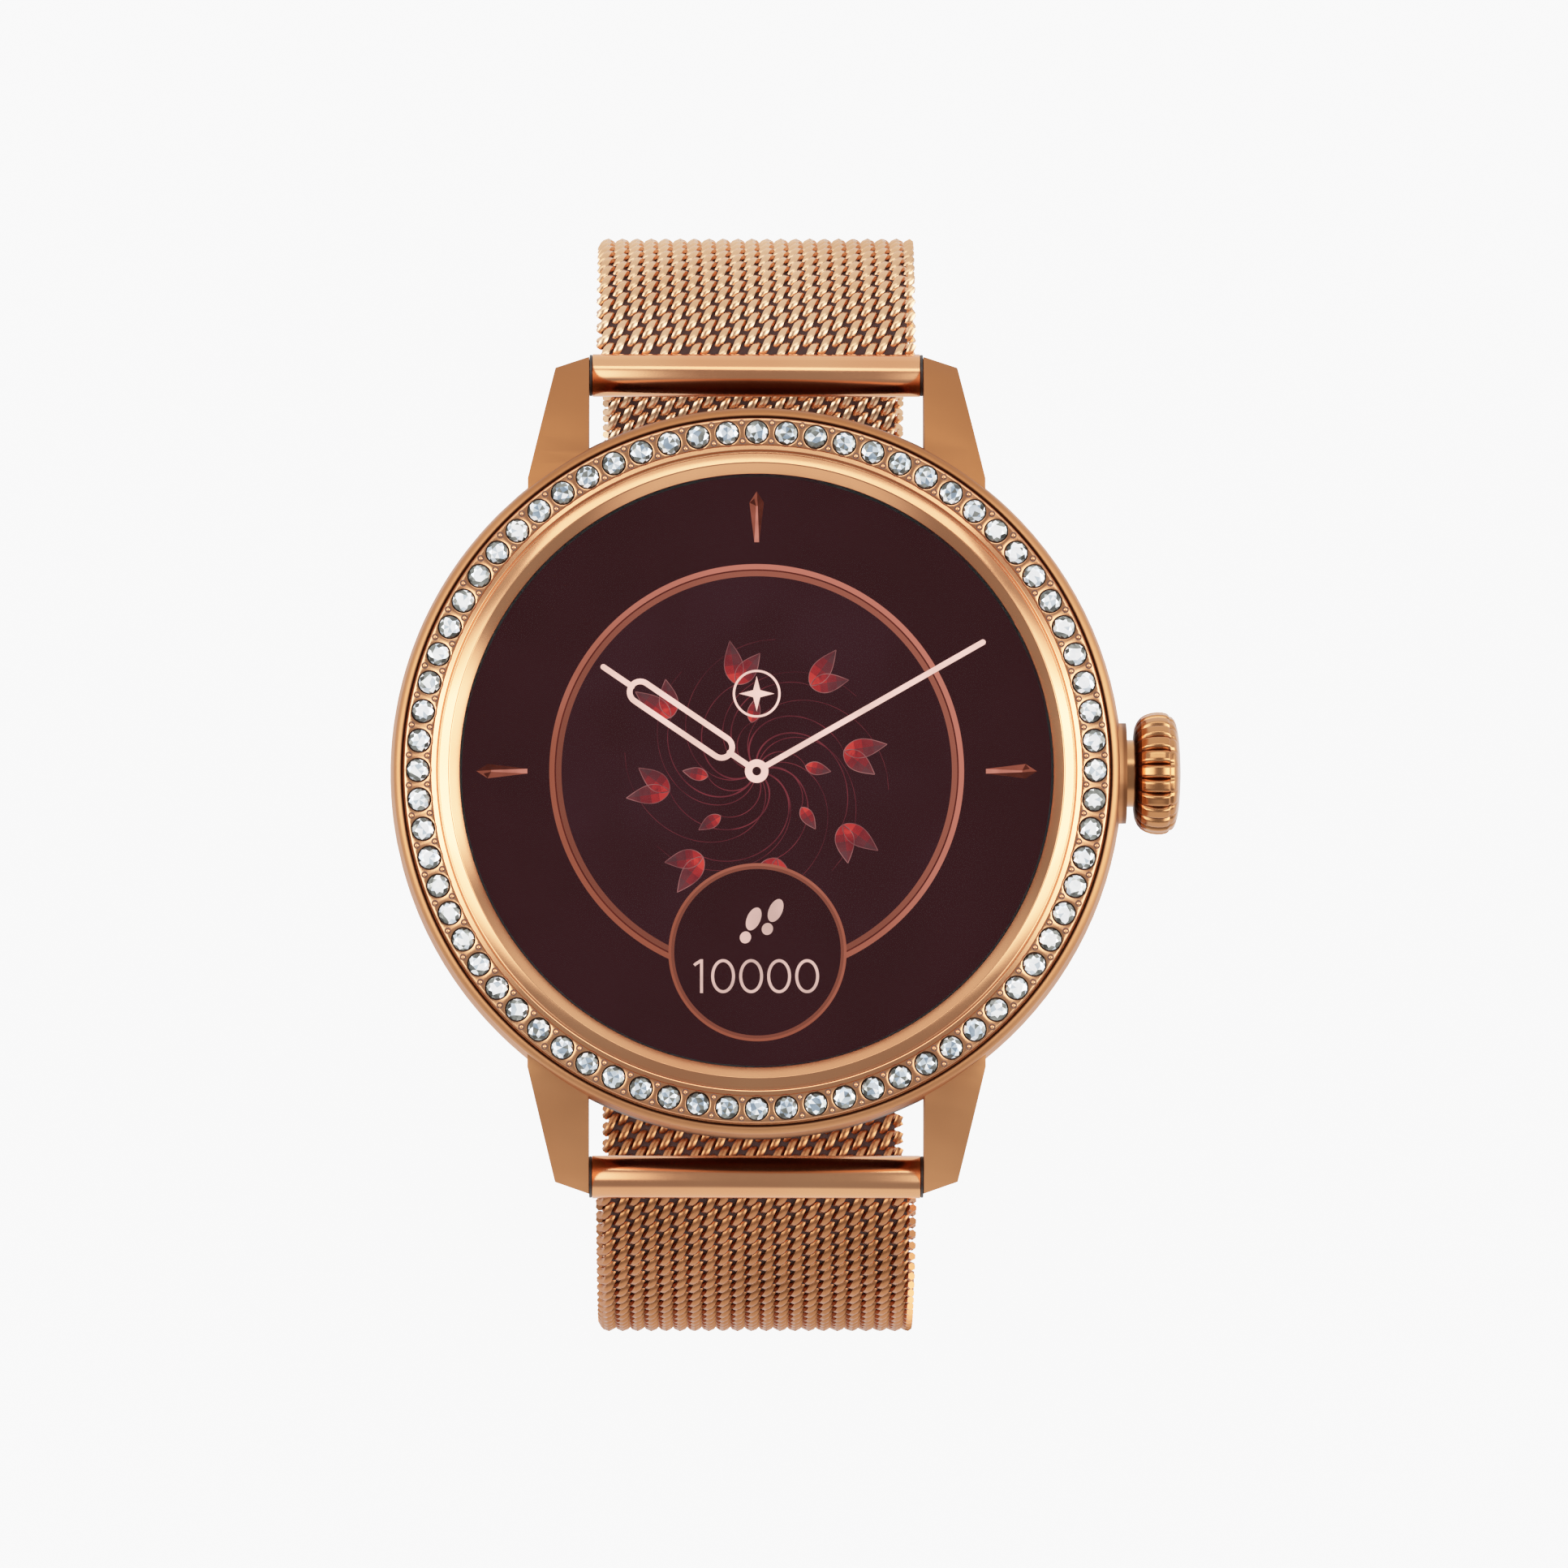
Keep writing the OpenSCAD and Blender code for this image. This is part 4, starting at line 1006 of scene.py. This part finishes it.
def digits():
    """The counter's number, a round count drawn as plain strokes: a one and four noughts."""
    shape = Shape()
    z, width, top, base = layer(0.055), 0.175, -11.24, -13.08
    middle_y, half_tall, half_wide = (top + base) / 2, (top - base) / 2, 0.62
    ribbon(shape, [(-3.70, top - 0.28), (-3.62, top - 0.20), (-3.30, top)], width, z)
    ribbon(shape, [(-3.27, top + 0.08), (-3.27, base - 0.08)], width, z)
    for x in (-1.99, -0.33, 1.33, 2.99):
        nought = [(x + half_wide * math.cos(FULL_TURN * i / 48),
                   middle_y + half_tall * math.sin(FULL_TURN * i / 48)) for i in range(48)]
        ribbon(shape, nought, width, z, closed=True)
    dial_piece(shape, "counter_digits", ["digit"])


def footprints():
    """Two plain shoe prints over the number."""
    shape = Shape()
    z = layer(0.055)
    for x, y in ((-0.35, -9.15), (0.95, -8.65)):
        for along, half_l, half_w in ((0.42, 0.72, 0.40), (-0.78, 0.36, 0.33)):
            tilt = math.radians(-24)
            outline = []
            for i in range(36):
                a = FULL_TURN * i / 36
                u, v = half_w * math.cos(a), along + half_l * math.sin(a)
                outline.append((x + u * math.cos(tilt) - v * math.sin(tilt),
                                y + u * math.sin(tilt) + v * math.cos(tilt)))
            plate(shape, outline, z)
    dial_piece(shape, "footprints", ["digit"])


# The room


def studio():
    """A pale floor, a soft sky that is brighter behind the strap's upper half, and three soft lights."""
    size = 3.0
    mesh = bpy.data.meshes.new("floor")
    z = FLOOR_Z * MM - 0.00002
    mesh.from_pydata([(-size, -size, z), (size, -size, z), (size, size, z), (-size, size, z)], [],
                     [(0, 1, 2, 3)])
    floor = bpy.data.objects.new("floor", mesh)
    bpy.context.scene.collection.objects.link(floor)
    f = Finish("floor")
    soft = f.noise(f.place(), 0.02, 2.0)
    seen = f.node("LightPath", {}, {}, out="Is Camera Ray")
    mesh.materials.append(f.surface({
        "Base Color": f.mix(soft, colour("585858"), colour("606060")),
        "Roughness": 0.9,
        "Specular IOR Level": 0.0,
        "Emission Color": f.mix(seen, (0.5, 0.5, 0.5, 1.0), (1.0, 1.0, 1.0, 1.0)),
        "Emission Strength": shown("f7f7f7")[0],
        "Alpha": 1.0 - f.node("NewGeometry", {}, {}, out="Backfacing"),
    }))

    world = bpy.data.worlds.new("studio")
    bpy.context.scene.world = world
    world.use_nodes = True
    sky = Nodes(world.node_tree)
    right, up, above = sky.axes(sky.node("TexCoord", {}, {}, out="Generated"))
    level_with = 1.0 - sky.step(sky.size_of(up), 0.2, 0.45)
    panels = sky.step(sky.size_of(right), 0.2, 0.42) * level_with * sky.step(above, 0.3, 0.5)
    low_right = sky.step(right, 0.85, 0.93) * level_with
    far = sky.step(up, 0.35, 0.75)
    near = sky.step(0.0 - up, 0.78, 0.93)
    light = panels * 3.8 + low_right * 3.4 + far * 0.75 + near * 0.8 + 0.36
    glow = sky.node("Background", {}, {"Color": light, "Strength": 1.0})
    sky.node("OutputWorld", {}, {"Surface": glow})

    soft_light("left_softbox", (-0.42, 0.02, 0.30), (0.2, 0.4), 0.5)
    soft_light("right_softbox", (0.42, 0.02, 0.30), (0.2, 0.4), 0.5)
    soft_light("top_softbox", (0.0, 0.28, 0.36), (0.5, 0.12), 0.45)


def soft_light(name, place, size, power):
    """A rectangular soft light that faces the watch."""
    data = bpy.data.lights.new(name, "AREA")
    data.shape = "RECTANGLE"
    data.size, data.size_y = size
    data.energy = power
    lamp = bpy.data.objects.new(name, data)
    lamp.location = place
    lamp.rotation_mode = "QUATERNION"
    lamp.rotation_quaternion = (-Vector(place)).to_track_quat("-Z", "Y")
    bpy.context.scene.collection.objects.link(lamp)


def camera():
    """A long lens almost straight above the dial, a little towards 6 o'clock."""
    data = bpy.data.cameras.new("camera")
    data.sensor_width = 36
    data.lens = 292.5
    data.clip_start = 0.01
    data.clip_end = 10
    shot = bpy.data.objects.new("camera", data)
    aim = Vector((1.61, -0.82, BEZEL_TOP - 0.2)) * MM
    away = Vector((-0.0064, -0.039, 1)).normalized()
    shot.location = aim + away * 0.754
    right = Vector((0, 1, 0)).cross(away).normalized()
    turn = Matrix((right, away.cross(right), away)).transposed()
    shot.rotation_mode = "QUATERNION"
    shot.rotation_quaternion = turn.to_quaternion()
    bpy.context.scene.collection.objects.link(shot)
    bpy.context.scene.camera = shot


def exposure():
    """True colours, with a curve that lets bright light fade to white."""
    view = bpy.context.scene.view_settings
    view.view_transform = "Standard"
    view.use_curve_mapping = True
    brightest = 8.0
    curve = view.curve_mapping
    curve.white_level = (brightest, brightest, brightest)
    points = curve.curves[3].points
    points[0].location = (0, 0)
    points[-1].location = (1, toned(brightest))
    steps = 26
    for i in range(1, steps):
        share = (i / steps) ** 2.2
        points.new(share, toned(share * brightest))
    for point in points:
        point.handle_type = "VECTOR"
    curve.update()


camera()
exposure()
studio()
finish_cad_nodes()
bezel()
shoulder()
grains()
stones()
crown()
weave("upper_weave", "upper_mesh", "upper_strap", 25, LOW_LEVEL - 1.8, 5.0, 1)
weave("lower_weave", "lower_mesh", "lower_strap", 44, LOW_LEVEL, -2.5, -1)
collars("upper_bar_collars", "upper_strap", 1)
collars("lower_bar_collars", "lower_strap", -1)
dial_face()
dial_rings()
swirl()
markers()
hands()
star_mark()
digits()
footprints()
